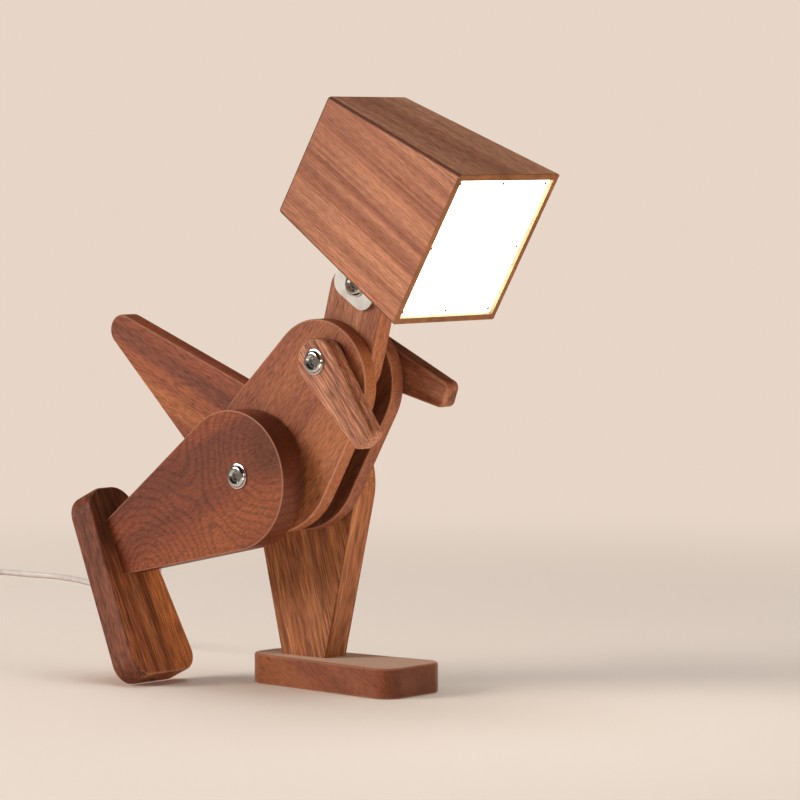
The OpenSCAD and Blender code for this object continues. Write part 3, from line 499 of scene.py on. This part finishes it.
# slots for the lead, open to the neck's side, and a hole for its boot
leadY = layer["plate"] + torso["thick"] / 2
knee, top = Vector(torso["leadKnee"]), Vector(torso["leadTop"])
rim = Vector((cordLine["rim"][0], cordLine["rim"][2]))
for a, b in ((knee, rim), (knee, top)):
    way, middle = b - a, (a + b) / 2
    deep = torso["thick"] / 2 + torso["slot"] / 2 + past
    long = way.length + torso["slot"] - (2 * torso["bootIn"] if b is rim else 0)
    middle = middle - way.normalized() * (torso["bootIn"] if b is rim else 0)
    cut(leftPlate, bar((long, deep, torso["slot"]), (middle.x, layer["plate"] - past + deep / 2, middle.y),
                       (0, -math.degrees(math.atan2(way.y, way.x)), 0)))
cut(leftPlate, rod(torso["bootHole"] / 2, 2 * torso["bootIn"], (rim.x, leadY, rim.y), (0, 90 - cordLine["exit"], 0)))
settle(rightPlate, place=hip)
settle(leftPlate, place=hip)
print("torso plates made")

# neck: round at the shoulder, two large corners at the top, a groove for the lead down its back
neck = {"long": 41, "wide": 36.6, "cap": 7, "corner": 12, "lean": 15.1, "groove": 3.9, "grooveLong": 140, "edge": 0.8}
half, high = neck["wide"] / 2 - neck["corner"], neck["long"] + neck["cap"] - neck["corner"]
neckRounds = [(0, 0, neck["wide"] / 2), (half, high, neck["corner"]), (-half, high, neck["corner"])]
neckBoard = hullBoard("walnutNeck", neckRounds, -layer["middle"], 2 * layer["middle"])
roundOver(neckBoard, neck["edge"], 4, rimOf("y"))
drillBore(neckBoard, -1)
drillBore(neckBoard, -1, z=neck["long"])
groove = (2 * neck["groove"], neck["groove"], neck["grooveLong"])
cut(neckBoard, bar(groove, (-neck["wide"] / 2, 0, neck["long"] / 2)))
settle(neckBoard, (0, neck["lean"], 0), shoulder)
print("neck made")

# arms: round at the shoulder, a narrow hand with small corners
arm = {"long": 53, "round": 12.2, "hand": 14.4, "corner": 4, "thick": 10.2, "edge": 1.6, "right": 50, "left": 20}


def armBoard(name, side, drop):
    low = layer["limb"] if side > 0 else -layer["armOut"]
    end, spread = arm["long"] - arm["corner"], arm["hand"] / 2 - arm["corner"]
    board = hullBoard(name, [(0, 0, arm["round"]), (end, -spread, arm["corner"]), (end, spread, arm["corner"])],
                      low, arm["thick"])
    roundOver(board, arm["edge"], 3, rimOf("y"))
    drillBore(board, side)
    settle(board, (0, drop, 0), shoulder)
    return board


rightArm = armBoard("walnutRightArm", -1, arm["right"])
leftArm = armBoard("walnutLeftArm", 1, arm["left"])

# tail: a wide round root between the plates and a small round tip
tail = {"long": 132.5, "root": 33, "rootBack": 10, "tip": 8.4, "rise": 32.8, "edge": 1.0}
tailBoard = hullBoard("walnutTail", [(tail["rootBack"], 0, tail["root"]), (tail["long"], 0, tail["tip"])],
                      -layer["middle"], 2 * layer["middle"])
roundOver(tailBoard, tail["edge"], 4, rimOf("y"))
drillBore(tailBoard, -1)
settle(tailBoard, (0, tail["rise"] - 180, 0), hip)
print("arms and tail made")

# legs: a thigh that narrows to the ankle, and a foot that widens to the toes
leg = {"long": 98.9, "round": 36.7, "roundDown": 5.8, "ankle": 31.2, "thick": 16.6, "edge": 0.8}
foot = {"thick": 16, "heel": 34.5, "toe": 72.3, "heelWide": 34, "toeWide": 46.6, "heelRound": 13, "toeRound": 10.5,
        "edge": 1.2, "screwGap": 16, "screw": 2.1, "screwLong": 38, "sink": 3.9, "sinkDeep": 2.4}
screwPlaces = (-foot["screwGap"] / 2, foot["screwGap"] / 2)
hipHigh = leg["long"] + foot["thick"]
legBack = 2 * math.degrees(math.atan(foot["toe"] / hipHigh))
legMiddle = layer["limb"] + leg["thick"] / 2


def thighBoard(name, side, back):
    low = layer["limb"] if side > 0 else -layer["thighOut"]
    board = hullBoard(name, [(0, -leg["roundDown"], leg["round"])], low, leg["thick"],
                      ends=[(0, 0.5 - leg["long"], leg["ankle"])])
    roundOver(board, leg["edge"], 4, rimOf("y", above=1 - leg["long"]))
    drillBore(board, side)
    for x in screwPlaces:
        cut(board, rod(foot["screw"], 2 * foot["screwLong"] + 2, (x, side * legMiddle, -hipHigh), upright))
    settle(board, (0, back, 0), hip)
    return board


def footBoard(name, side, back):
    toe, heel = foot["toeWide"] / 2 - foot["toeRound"], foot["heelWide"] / 2 - foot["heelRound"]
    front, rear = foot["toe"] - foot["toeRound"], foot["heelRound"] - foot["heel"]
    at = side * legMiddle
    parts = [rod(r, foot["thick"], (x, at + y, foot["thick"] / 2 - hipHigh), upright, roundSides)
             for x, y, r in ((front, toe, foot["toeRound"]), (front, -toe, foot["toeRound"]),
                             (rear, heel, foot["heelRound"]), (rear, -heel, foot["heelRound"]))]
    board = hulled(name, parts)
    roundOver(board, foot["edge"], 5, rimOf("z"))
    for x in screwPlaces:
        cut(board, rod(foot["screw"], through, (x, at, -hipHigh), upright))
        cut(board, rod(foot["sink"], 2 * foot["sinkDeep"], (x, at, -hipHigh), upright))
    settle(board, (0, back, 0), hip)
    return board


leftThigh = thighBoard("walnutLeftThigh", 1, 0)
rightThigh = thighBoard("walnutRightThigh", -1, legBack)
leftFoot = footBoard("walnutLeftFoot", 1, 0)
rightFoot = footBoard("walnutRightFoot", -1, legBack)
print("legs made")

# head: one hollow box that widens to the front, sawn along its corners into four mitred boards
head = {"long": 102.5, "behind": 47.7, "frontWide": 80, "frontHigh": 86.9, "backWide": 60.7, "backHigh": 68.6,
        "wall": 3.5, "climb": 2.4, "drop": 13.3, "tilt": 30.2, "edge": 1.9, "rim": 0.5, "recess": 2,
        "leadHole": (-22.7, 1.85), "screwHole": (6.5, 1.35), "holeDeep": 16}
rise = math.tan(math.radians(head["climb"]))
growth = (head["frontHigh"] - head["backHigh"]) / 2 / head["long"]
underTaper = math.degrees(math.atan(growth - rise))


def headHalf(x):
    # half the head's width and height at a place along it
    share = (x + head["behind"]) / head["long"]
    return ((head["backWide"] + (head["frontWide"] - head["backWide"]) * share) / 2,
            (head["backHigh"] + (head["frontHigh"] - head["backHigh"]) * share) / 2)


headRise = head["drop"] / math.cos(math.radians(underTaper)) + headHalf(0)[1]
headBack, headFront = -head["behind"], head["long"] - head["behind"]


def headMiddle(x):
    return headRise + x * rise


def headBox(name, back, front, inset):
    # a block between two sections of the head, drawn in from its outside
    (bw, bh), (fw, fh) = headHalf(back), headHalf(front)
    block = bar((front - back, 2 * (bw - inset), 2 * (bh - inset)), ((front + back) / 2, 0, headMiddle(back)))
    fixPlace()
    block.name = name
    edit(block, "FACE")
    pick(block, "faces", lambda f: f.normal.x > facing)
    bpy.ops.transform.resize(value=(1, (fw - inset) / (bw - inset), (fh - inset) / (bh - inset)),
                             center_override=mm(front, 0, headMiddle(back)))
    bpy.ops.transform.translate(value=mm(0, 0, headMiddle(front) - headMiddle(back)))
    leaveEdit()
    return block


shell = headBox("headShell", headBack, headFront, 0)
edit(shell, "FACE")
for way in (-1, 1):
    pick(shell, "faces", lambda f: f.normal.x * way > facing)
    bpy.ops.mesh.inset(thickness=mm(head["wall"]))


def atEnd(f):
    # the inset faces at both ends, inside the rims
    middle = f.calc_center_median()
    level = mm(headMiddle(middle.x * 1000))
    return abs(f.normal.x) > facing and abs(middle.y) < mm(5) and abs(middle.z - level) < mm(5)


pick(shell, "faces", atEnd)
bpy.ops.mesh.bridge_edge_loops()
bpy.ops.mesh.select_all(action="SELECT")
bpy.ops.mesh.bisect(plane_co=mm(headFront - head["recess"], 0, 0), plane_no=(1, 0, 0))
leaveEdit()


def outerEdge(e, front):
    # long outer edges and the back's outline, or the front's outline
    def same(a, b):
        return abs(a - b) < 1e-5

    def onOutside(v):
        w, h = headHalf(v.co.x * 1000)
        return same(abs(v.co.y), mm(w)) or same(abs(v.co.z - mm(headMiddle(v.co.x * 1000))), mm(h))
    atFront = all(same(v.co.x, mm(headFront)) for v in e.verts)
    return all(onOutside(v) for v in e.verts) and atFront == front and e.calc_face_angle(0) > 0.5


roundOver(shell, head["edge"], 4, lambda e: outerEdge(e, False))
roundOver(shell, head["rim"], 2, lambda e: outerEdge(e, True))


def mitrePlane(sy, sz):
    # plane through an outer and an inner edge of the box; its normal points up or down, away from the side
    corner, ahead = (Vector((x, sy * headHalf(x)[0], headMiddle(x) + sz * headHalf(x)[1])) for x in (0, 40))
    edge = ahead - corner
    normal = edge.cross(Vector((0, -sy, -sz))).normalized()
    return corner / 1000, normal if normal.z * sz > 0 else -normal


def headBoard(name, keep):
    board = shell.copy()
    board.data = shell.data.copy()
    board.name = name
    bpy.context.scene.collection.objects.link(board)
    for (sy, sz), above in keep:
        corner, normal = mitrePlane(sy, sz)
        edit(board, "FACE")
        bpy.ops.mesh.select_all(action="SELECT")
        bpy.ops.mesh.bisect(plane_co=corner, plane_no=normal, use_fill=True, clear_inner=above, clear_outer=not above)
    leaveEdit()
    return board


headTop = headBoard("walnutHeadTop", [((1, 1), True), ((-1, 1), True)])
headBottom = headBoard("walnutHeadBottom", [((1, -1), True), ((-1, -1), True)])
headLeft = headBoard("walnutHeadLeft", [((1, 1), False), ((1, -1), False)])
headRight = headBoard("walnutHeadRight", [((-1, 1), False), ((-1, -1), False)])
bpy.data.objects.remove(shell)
# holes in the bottom for the lead and the bracket's screws
slope = math.radians(underTaper)
screwAt, screwRound = head["screwHole"]
for x, r in (head["leadHole"], (-screwAt, screwRound), (screwAt, screwRound)):
    at = (x * math.cos(slope) + head["drop"] * math.sin(slope), 0,
          head["drop"] * math.cos(slope) - x * math.sin(slope))
    cut(headBottom, rod(r, head["holeDeep"], at, (0, underTaper, 0)))
headBackBoard = headBox("walnutHeadBack", headBack, headBack + head["wall"], head["wall"])
for board in (headTop, headBottom, headLeft, headRight, headBackBoard):
    settle(board, (0, head["tilt"], 0), tilt)
print("head boards made")

# bolts and sleeve nuts: a flanged domed head with a hexagon socket, on a shank or a sleeve
bolt = {"flange": 6.6, "rim": 0.6, "dome": 5.9, "flat": 4.3, "high": 2.4, "steps": 8, "ring": 3.7, "sunk": 0.9,
        "cone": 2.7, "hex": 4, "socket": 2, "shank": 3, "sleeve": 4, "sleeveBore": 3.1, "arris": 0.12, "smooth": 25,
        "gap": 0.1, "tiltGap": 1.6, "short": 4, "sleeveShort": 2, "sleeveSolid": 3, "tiltPast": 5}


def flangedBolt(name, below, bore=None, boreDeep=0):
    # lathe work: the top face is drawn up step by step along the dome, the bottom one down as the shank
    radius = bolt["sleeve"] if bore else bolt["shank"]
    piece = rod(bolt["flange"], bolt["rim"], (0, 0, bolt["rim"] / 2), upright, 96)
    fixPlace()
    piece.name = name
    edit(piece, "FACE")
    pick(piece, "faces", lambda f: f.normal.z > facing)
    bpy.ops.mesh.inset(thickness=mm(bolt["flange"] - bolt["dome"]))
    now, level = bolt["dome"], bolt["rim"]
    for k in range(1, bolt["steps"] + 1):
        quarter = math.pi / 2 * k / bolt["steps"]
        size = bolt["flat"] + (bolt["dome"] - bolt["flat"]) * math.cos(quarter)
        z = bolt["rim"] + (bolt["high"] - bolt["rim"]) * math.sin(quarter)
        bpy.ops.mesh.extrude_region_move(TRANSFORM_OT_translate={"value": mm(0, 0, z - level)})
        bpy.ops.transform.resize(value=(size / now, size / now, 1), center_override=mm(0, 0, z))
        now, level = size, z
    # a cone down to the socket
    bpy.ops.mesh.inset(thickness=mm(bolt["flat"] - bolt["ring"]))
    bpy.ops.mesh.extrude_region_move(TRANSFORM_OT_translate={"value": mm(0, 0, -bolt["sunk"])})
    shrink = bolt["cone"] / bolt["ring"]
    bpy.ops.transform.resize(value=(shrink, shrink, 1), center_override=mm(0, 0, bolt["high"] - bolt["sunk"]))
    pick(piece, "faces", lambda f: f.normal.z < -facing)
    bpy.ops.mesh.inset(thickness=mm(bolt["flange"] - radius))
    bpy.ops.mesh.extrude_region_move(TRANSFORM_OT_translate={"value": mm(0, 0, -below)})
    leaveEdit()
    roundOver(piece, bolt["arris"], 2, lambda e: all(v.co.z > mm(bolt["rim"]) - 1e-6 for v in e.verts)
              and e.calc_face_angle(0) > 0.9)
    hexRound = bolt["hex"] / 2 / math.cos(math.radians(30))  # over the hexagon's corners
    cut(piece, rod(hexRound, 2 * bolt["socket"], (0, 0, bolt["high"]), upright, 6))
    if bore:
        cut(piece, rod(bore, 2 * boreDeep, (0, 0, -below), upright))
    return piece


def driven(piece, joint, out):
    # sets a bolt's head out on the right, or a nut's on the left
    settle(piece, (-90 if out > 0 else 90, 0, 0), joint + Vector(mm(0, out, 0)), bolt["smooth"])
    return piece


boltPieces = []
for end, at, halfWide in (("hip", hip, layer["thighOut"] + bolt["gap"]),
                          ("shoulder", shoulder, layer["armOut"] + bolt["gap"])):
    sleeve = halfWide - layer["plate"] - bolt["sleeveShort"]
    boltPiece = flangedBolt(end + "BoltChrome", 2 * halfWide - bolt["short"])
    nut = flangedBolt(end + "NutChrome", sleeve, bolt["sleeveBore"], sleeve - bolt["sleeveSolid"])
    boltPieces += [(driven(boltPiece, at, -halfWide), end + "_bolt", "torso"),
                   (driven(nut, at, halfWide), end + "_nut", "torso")]
tiltHalf = layer["plate"] + bolt["tiltGap"]
tiltPiece = flangedBolt("tiltBoltChrome", 2 * tiltHalf + bolt["tiltPast"])
boltPieces.append((driven(tiltPiece, tilt, -tiltHalf), "tilt_bolt", "head"))
print("bolts turned")

# finishes of the boards, lengths in mm: grain is turned to each board's length, and pith shifts the figure
# edge tones darker than the wood (head, neck, left thigh) are painted shade, paler ones painted highlight
base = {"broad": 24, "streak": 5, "streakShare": 0.4, "spread": 0.13, "draw": 0.03, "fibre": 0.8, "fibreShare": 0.14,
        "pore": 0.42, "poreShare": 0.44, "poreSpan": (0.4, 0.66), "poreDeep": 0.1, "dash": 0.085, "gloss": 0.3,
        "sheen": 0.0, "rough": (0.44, 0.58), "bands": [], "faces": (0, 1, 0), "paintedEdgeRamp": (0.1, 0.4, 0.9, 0.985),
        "edge": "#b9805f", "paintedEdgeShare": 0.35}
longDashes = {"pore": 0.5, "poreShare": 0.5, "dash": 0.045}
looks = {
    "headRight": {"grain": (0, -31, 5.4), "pith": (0, 0, 262), "tones": ("#905339", "#ac6d4f", "#be805e"),
                  "broad": 9, "streak": 2.4, "spread": 0.1, "draw": 0.01, "dash": 0.08, "pore": 0.4,
                  "bands": [{"across": "X", "at": -140, "half": 55, "ragged": 10, "colour": "#8f543b", "share": 0.4}],
                  "poreShare": 0.26, "fibreShare": 0.22, "edge": "#4c2216", "paintedEdgeShare": 0.85},
    "headTop": {"grain": (0, -22.7, 0), "pith": (40, 120, 0), "tones": ("#8f5f48", "#a67359", "#b58367"),
                "edge": "#4c2216", "paintedEdgeShare": 0.85, "paintedEdgeRamp": (0.05, 0.25, 0.9, 0.985)},
    "headLeft": {"grain": (0, -27.8, -5.4), "pith": (90, 30, 300), "tones": ("#8e5639", "#a96d4c", "#bb805c")},
    "headBottom": {"grain": (0, -32.9, 0), "pith": (20, 160, 40), "tones": ("#8a5238", "#a36848", "#b57b58")},
    "headBack": {"grain": (90, 0, 90), "pith": (0, 90, 30), "tones": ("#8a5238", "#a36848", "#b57b58")},
    "neck": {"grain": (0, 74.9, 0), "pith": (0, 30, 210), "tones": ("#8b5138", "#a56a4c", "#b77f60"),
             "broad": 12, "edge": "#7d4a34", "paintedEdgeShare": 0.5,
             # painted light: the front face a quarter lighter, as if lit by the desk in front
             "face": {"looks": (0.965, 0, -0.26), "over": (0.6, 0.9), "level": 1.25}},
    "plate": {"grain": (0, 51.9, 0), "pith": (10, 25, 160), "tones": ("#854b34", "#9b5a3f", "#ab6b47"),
              "bands": [{"across": "Z", "at": 210, "half": 20, "ragged": 14, "colour": "#b47145", "share": 0.4}],
              "edge": "#cc9a7c", "paintedEdgeShare": 0.55},
    "leftPlate": {"grain": (0, 51.9, 0), "pith": (60, 5, 190), "tones": ("#7a4630", "#92563b", "#a66a48"),
                  # painted shade: the face that looks into the lead's slot at half its tone
                  "face": {"looks": (0, -1, 0), "over": (0.7, 0.9), "level": 0.5}},
    "rightArm": {"grain": (0, -50, 0), "pith": (0, 40, 130), "tones": ("#7f4a35", "#b0755a", "#cc9377"),
                 "broad": 9, "streak": 1.5, "streakShare": 0.6, "spread": 0.14, "poreShare": 0.6, "dash": 0.05},
    "leftArm": {"grain": (0, -20, 0), "pith": (0, 10, 120), "tones": ("#5a3422", "#854e34", "#a2694e"),
                "broad": 8, "streak": 3},
    "tail": {"grain": (0, -24, 0), "pith": (0, 12, 96), "tones": ("#7b3f29", "#955035", "#a25b3a"),
             "broad": 12, "spread": 0.16,
             "bands": [{"across": "Z", "at": 193.5, "half": 5, "ragged": 5, "colour": "#b87240", "share": 0.65},
                       {"across": "Z", "at": 212, "half": 4, "ragged": 6, "colour": "#65382b", "share": 0.42}]},
    "rightThigh": {"grain": (0, 25.6, 0), "pith": (0, 24.6, -89), "tones": ("#763b28", "#8f492c", "#97512f"),
                   "broad": 30, "streakShare": 0.1, "fibreShare": 0.03, "draw": 0.15, "dash": 0.14,
                   "pore": 0.4, "poreShare": 0.38, "edge": "#c89478", "paintedEdgeShare": 0.6,
                   "rings": {"hearts": [(4, -34, 130), (-83, -34, 60)], "merge": 26, "apart": 4.2, "bend": 22,
                             "wander": 12, "share": 0.3, "knot": (5, 26), "knotLevel": 0.5},
                   # the front rim darkened: painted shade, partly its end grain
                   "face": {"looks": (1, 0, 0), "over": (0.1, 0.5), "level": 0.56}},
    "leftThigh": {"grain": (0, 106, 0), "pith": (0, 20, 140), "tones": ("#845030", "#ae6b43", "#c48556"),
                  "broad": 5, "streak": 1.6, "streakShare": 0.5, "spread": 0.17, **longDashes,
                  "edge": "#5a3018", "paintedEdgeShare": 0.6},
    "rightFoot": {"grain": (0, -64.4, 0), "pith": (0, 30, 60), "tones": ("#6b3b22", "#a05d3a", "#ba774c"),
                  "broad": 6, "streak": 1.8, "streakShare": 0.5, **longDashes, "faces": (0.902, 0, 0.432),
                  "bands": [{"across": "Y", "at": 24, "half": 14, "ragged": 10, "colour": "#d98448", "share": 0.55},
                            # painted shadow: the heel end darkened where the thigh shades the foot
                            {"across": "X", "at": -146, "half": 40, "ragged": 12, "colour": "#34160d",
                             "share": 0.75}],
                  "edge": "#c08a6c", "paintedEdgeShare": 0.5},
    "leftFoot": {"grain": (0, -28, 0), "pith": (0, 50, 60), "tones": ("#723b27", "#87482d", "#945539"),
                 "broad": 14, "poreShare": 0.3, "spread": 0.2, "sheen": 0.8, "faces": (0, 0, 1),
                 "bands": [{"across": "Z", "at": 46, "half": 16, "ragged": 8, "colour": "#a9643b", "share": 0.55}],
                 # the toe end darkened: its end grain, and painted shade
                 "face": {"looks": (1, 0, 0), "over": (0.5, 0.9), "level": 0.75}},
}
# two sawn sides show a grain or a tone of their own
looks["leftThighFront"] = {**looks["leftThigh"], "grain": (0, 77, 0)}
looks["rightFootSide"] = {**looks["rightFoot"], "tones": ("#552919", "#723c27", "#854c36"),
                          "bands": [], "paintedEdgeShare": 0.0}
woods = {key: walnut("oiled walnut, " + key, {**base, **look}) for key, look in looks.items()}
for piece, node, body, wood in (
        (leftPlate, "left_plate", "torso", "leftPlate"), (rightPlate, "right_plate", "torso", "plate"),
        (neckBoard, "neck", "neck", "neck"), (rightArm, "right_arm", "right_arm", "rightArm"),
        (leftArm, "left_arm", "left_arm", "leftArm"), (tailBoard, "tail", "tail", "tail"),
        (leftThigh, "left_thigh", "left_leg", "leftThigh"), (rightThigh, "right_thigh", "right_leg", "rightThigh"),
        (leftFoot, "left_foot", "left_leg", "leftFoot"), (rightFoot, "right_foot", "right_leg", "rightFoot"),
        (headTop, "head_top", "head", "headTop"), (headBottom, "head_bottom", "head", "headBottom"),
        (headLeft, "head_left", "head", "headLeft"), (headRight, "head_right", "head", "headRight"),
        (headBackBoard, "head_back", "head", "headBack")):
    seat(piece, node, body, woods[wood])
for board, wood, way, least in ((leftThigh, "leftThighFront", (1, 0, 0), 0.9),
                                (rightFoot, "rightFootSide", (0, -1, 0), 0.3)):
    board.data.materials.append(woods[wood])
    for face in board.data.polygons:
        face.material_index = int(face.normal.dot(Vector(way)) > least)
# front of the head: a bare strip before the panel, pale in its light, and the sawn edges, whose end grain is darker
frontLook = {"grain": (0, -27.8, 0), "pith": (0, 0, 200), "poreShare": 0.15, "paintedEdgeShare": 0.0}
frontTones = {"walnut, bare and lit": ("#8e7f58", "#9f9168", "#ada077"),
              "walnut, sawn front edge": ("#6f4224", "#83522e", "#935f38")}
frontWoods = [walnut(name, {**base, **frontLook, "tones": tones}) for name, tones in frontTones.items()]
inWall = head["wall"] - 0.05  # a little less than the wall, so that its inner faces count as within
for board in (headTop, headBottom, headLeft, headRight):
    for wood in frontWoods:
        board.data.materials.append(wood)
    for face in board.data.polygons:
        at = Matrix.Rotation(-math.radians(head["tilt"]), 4, "Y") @ (face.center - tilt) * 1000
        wide, high = headHalf(at.x)
        within = abs(at.y) < wide - inWall and abs(at.z - headMiddle(at.x)) < high - inWall
        if within and at.x > headFront - head["recess"]:
            face.material_index = 1
        elif at.x > headFront - head["rim"]:
            face.material_index = 2
# bright chrome on turned steel: black and white reflections
chrome = plated("polished chrome plate", "#c9c8c8", 0.06, 0.05)
for piece, node, body in boltPieces:
    seat(piece, node, body, chrome)
print("boards and bolts finished")

# opal panel: lit from behind, white all over
panelLight = {"colour": "#fffaf0", "strength": (4.85, 5.15)}
opal, tree, shader = newMaterial("opal acrylic, lit", Roughness=0.35, Emission_Color=linear(panelLight["colour"]))
place = addNode(tree, "TexCoord")
milk = addNode(tree, "TexNoise", {"Vector": place.outputs["Object"], "Scale": 1 / mm(25)})
tint = addNode(tree, "ValToRGB", {"Fac": milk.outputs["Fac"]},
               stops=[(0.3, linear("#f0ece2")), (0.7, linear("#f6f3ea"))])
glow = addNode(tree, "MapRange", {"Value": milk.outputs["Fac"], **noiseSpan, "To Min": panelLight["strength"][0],
               "To Max": panelLight["strength"][1]})
feed(tree, shader, {"Base Color": tint.outputs["Color"], "Emission Strength": glow.outputs[0]})

# the rest keeps its solids, each in its own finish
finishes = {
    "plain_steel": plated("bright zinc on steel", "#c4c2be", 0.3, 0.08),
    "brads": moulded("browned steel", "#2c2018", "#3a2b20", 0.5, 0.3, 0.01),
    "chrome_hardware": chrome,
    "black_fibre": moulded("vulcanised fibre", "#241d19", "#30271f", 0.8, 0.4, 0.05),
    "opal_acrylic": opal,
    "white_plastic": moulded("white ABS", "#e4dfd0", "#ece8dc", 0.5, 0.3, 0.02),
    "white_pvc": jacket,
    "light_board": moulded("white solder mask", "#e6e6e0", "#efefea", 0.35, 0.3, 0.01),
    "emitter_yellow": moulded("phosphor gel", "#e8b83c", "#f2cf5e", 0.3, 0.3, 0.01),
    "circuit_green": moulded("green solder mask", "#1c4a30", "#245a3a", 0.35, 0.4, 0.01),
    "chip_black": moulded("black epoxy", "#141414", "#1e1e1e", 0.6, 0.2, 0.02),
    "foam_black": moulded("closed-cell foam", "#161616", "#202020", 0.9, 0.6, 0.1),
    "copper_foil": plated("copper foil", "#c98a5e", 0.25, 0.1),
}
slots = {s["node"]: s["material_slot"] for s in frame["record"]["subparts"]}
for name, node in nodes.items():
    if not node.get("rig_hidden") and slots[name] in finishes:
        node.data.materials.clear()
        node.data.materials.append(finishes["brads" if name == "diffuser_brads" else slots[name]])

# stage: a wide pale floor that fades into a room of the same tone
stage = {"low": "#f8ede3", "high": "#fbf1e8", "tone": "#e7d6c7", "even": (0.4, 1.1), "wide": 60, "clouds": 1.2,
         "light": 0.19, "mirrored": 0.32, "overhead": 0.03, "horizon": (0.1, 0.4)}
bpy.ops.mesh.primitive_plane_add(size=stage["wide"])
floor = bpy.context.object
floor.name = "paleFloor"
edit(floor, "FACE")
bpy.ops.mesh.select_all(action="SELECT")
bpy.ops.mesh.subdivide(number_cuts=3)
leaveEdit()
settle(floor)
paper, tree, shader = newMaterial("matt paper", Roughness=0.9)
place = addNode(tree, "TexCoord")
cloud = addNode(tree, "TexNoise", {"Vector": place.outputs["Object"], "Scale": stage["clouds"]})
tint = addNode(tree, "ValToRGB", {"Fac": cloud.outputs["Fac"]},
               stops=[(0.3, linear(stage["low"])), (0.7, linear(stage["high"]))])
feed(tree, shader, {"Base Color": tint.outputs["Color"]})
# far from the lamp the paper is seen in one even tone, by the eye and in the metal
ray = addNode(tree, "LightPath")
strength = addNode(tree, "MapRange", {"Value": ray.outputs["Is Camera Ray"], "To Min": stage["mirrored"]})
tone = addNode(tree, "Emission", {"Color": linear(stage["tone"]), "Strength": strength.outputs[0]})
seen = addNode(tree, "Math", {0: ray.outputs["Is Camera Ray"], 1: ray.outputs["Is Glossy Ray"]},
               operation="MAXIMUM")
anySight = addNode(tree, "Math", {0: seen.outputs[0], 1: ray.outputs["Is Transmission Ray"]}, operation="MAXIMUM")
away = addNode(tree, "VectorMath", {0: place.outputs["Object"]}, operation="LENGTH")
far = addNode(tree, "MapRange", {"Value": away.outputs["Value"], "From Min": stage["even"][0],
              "From Max": stage["even"][1]}, interpolation_type="SMOOTHSTEP")
share = addNode(tree, "Math", {0: anySight.outputs[0], 1: far.outputs[0]}, operation="MULTIPLY")
mixed = addNode(tree, "MixShader", {0: share.outputs[0], 1: shader.outputs[0], 2: tone.outputs[0]})
feed(tree, tree.nodes["Material Output"], {"Surface": mixed.outputs[0]})
floor.data.materials.append(paper)

# light: a wide soft box on the camera's left, weaker ones on its right and above, and a card on the desk that
# throws the lamp's own light back up
lights = {"left": {"at": (-1.5, -2.0, 1.1), "aim": (0, 0, 0.15), "size": 1.2, "power": 51.5, "tint": "#fff6ec"},
          "right": {"at": (2.4, 0.1, 0.8), "aim": (0, 0, 0.15), "size": 1.0, "power": 12.5, "tint": "#fff4e6"},
          "above": {"at": (0.1, 0.1, 2.6), "aim": (0, 0, 0.15), "size": 1.8, "power": 28.5, "tint": "#ffffff"},
          "desk": {"at": (0.42, -0.05, 0.004), "aim": (0.42, -0.05, 1), "size": 0.5, "power": 1.2, "tint": "#ffe8cc"}}
for name, lamp in lights.items():
    bpy.ops.object.light_add(type="AREA", location=lamp["at"])
    box = bpy.context.object
    box.name = name + "Box"
    box.data.shape = "SQUARE"
    box.data.size = lamp["size"]
    box.data.energy = lamp["power"]
    box.data.color = linear(lamp["tint"])[:3]
    box.rotation_euler = (Vector(lamp["aim"]) - box.location).to_track_quat("-Z", "Y").to_euler()
    box.visible_camera = False
    box.visible_glossy = name != "above"  # the bolts mirror a dark ceiling
world = bpy.data.worlds.new("paleRoom")
bpy.context.scene.world = world
world.use_nodes = True
tree = world.node_tree
ray = addNode(tree, "LightPath")
# metal mirrors a room that is pale at the horizon and dark overhead
place = addNode(tree, "TexCoord")
height = addNode(tree, "SeparateXYZ", {0: place.outputs["Generated"]})
mirrored = addNode(tree, "MapRange", {"Value": height.outputs["Z"], "From Min": stage["horizon"][0],
                   "From Max": stage["horizon"][1], "To Min": stage["mirrored"], "To Max": stage["overhead"]})
lit = addNode(tree, "Mix", {0: ray.outputs["Is Glossy Ray"], 2: stage["light"], 3: mirrored.outputs[0]})
plain = addNode(tree, "Math", {0: ray.outputs["Is Camera Ray"], 1: ray.outputs["Is Transmission Ray"]},
                operation="MAXIMUM")
seen = addNode(tree, "Mix", {0: plain.outputs[0], 2: lit.outputs[0], 3: 1.0})
feed(tree, tree.nodes["Background"], {"Color": linear(stage["tone"]), "Strength": seen.outputs[0]})
print("stage and lights set")
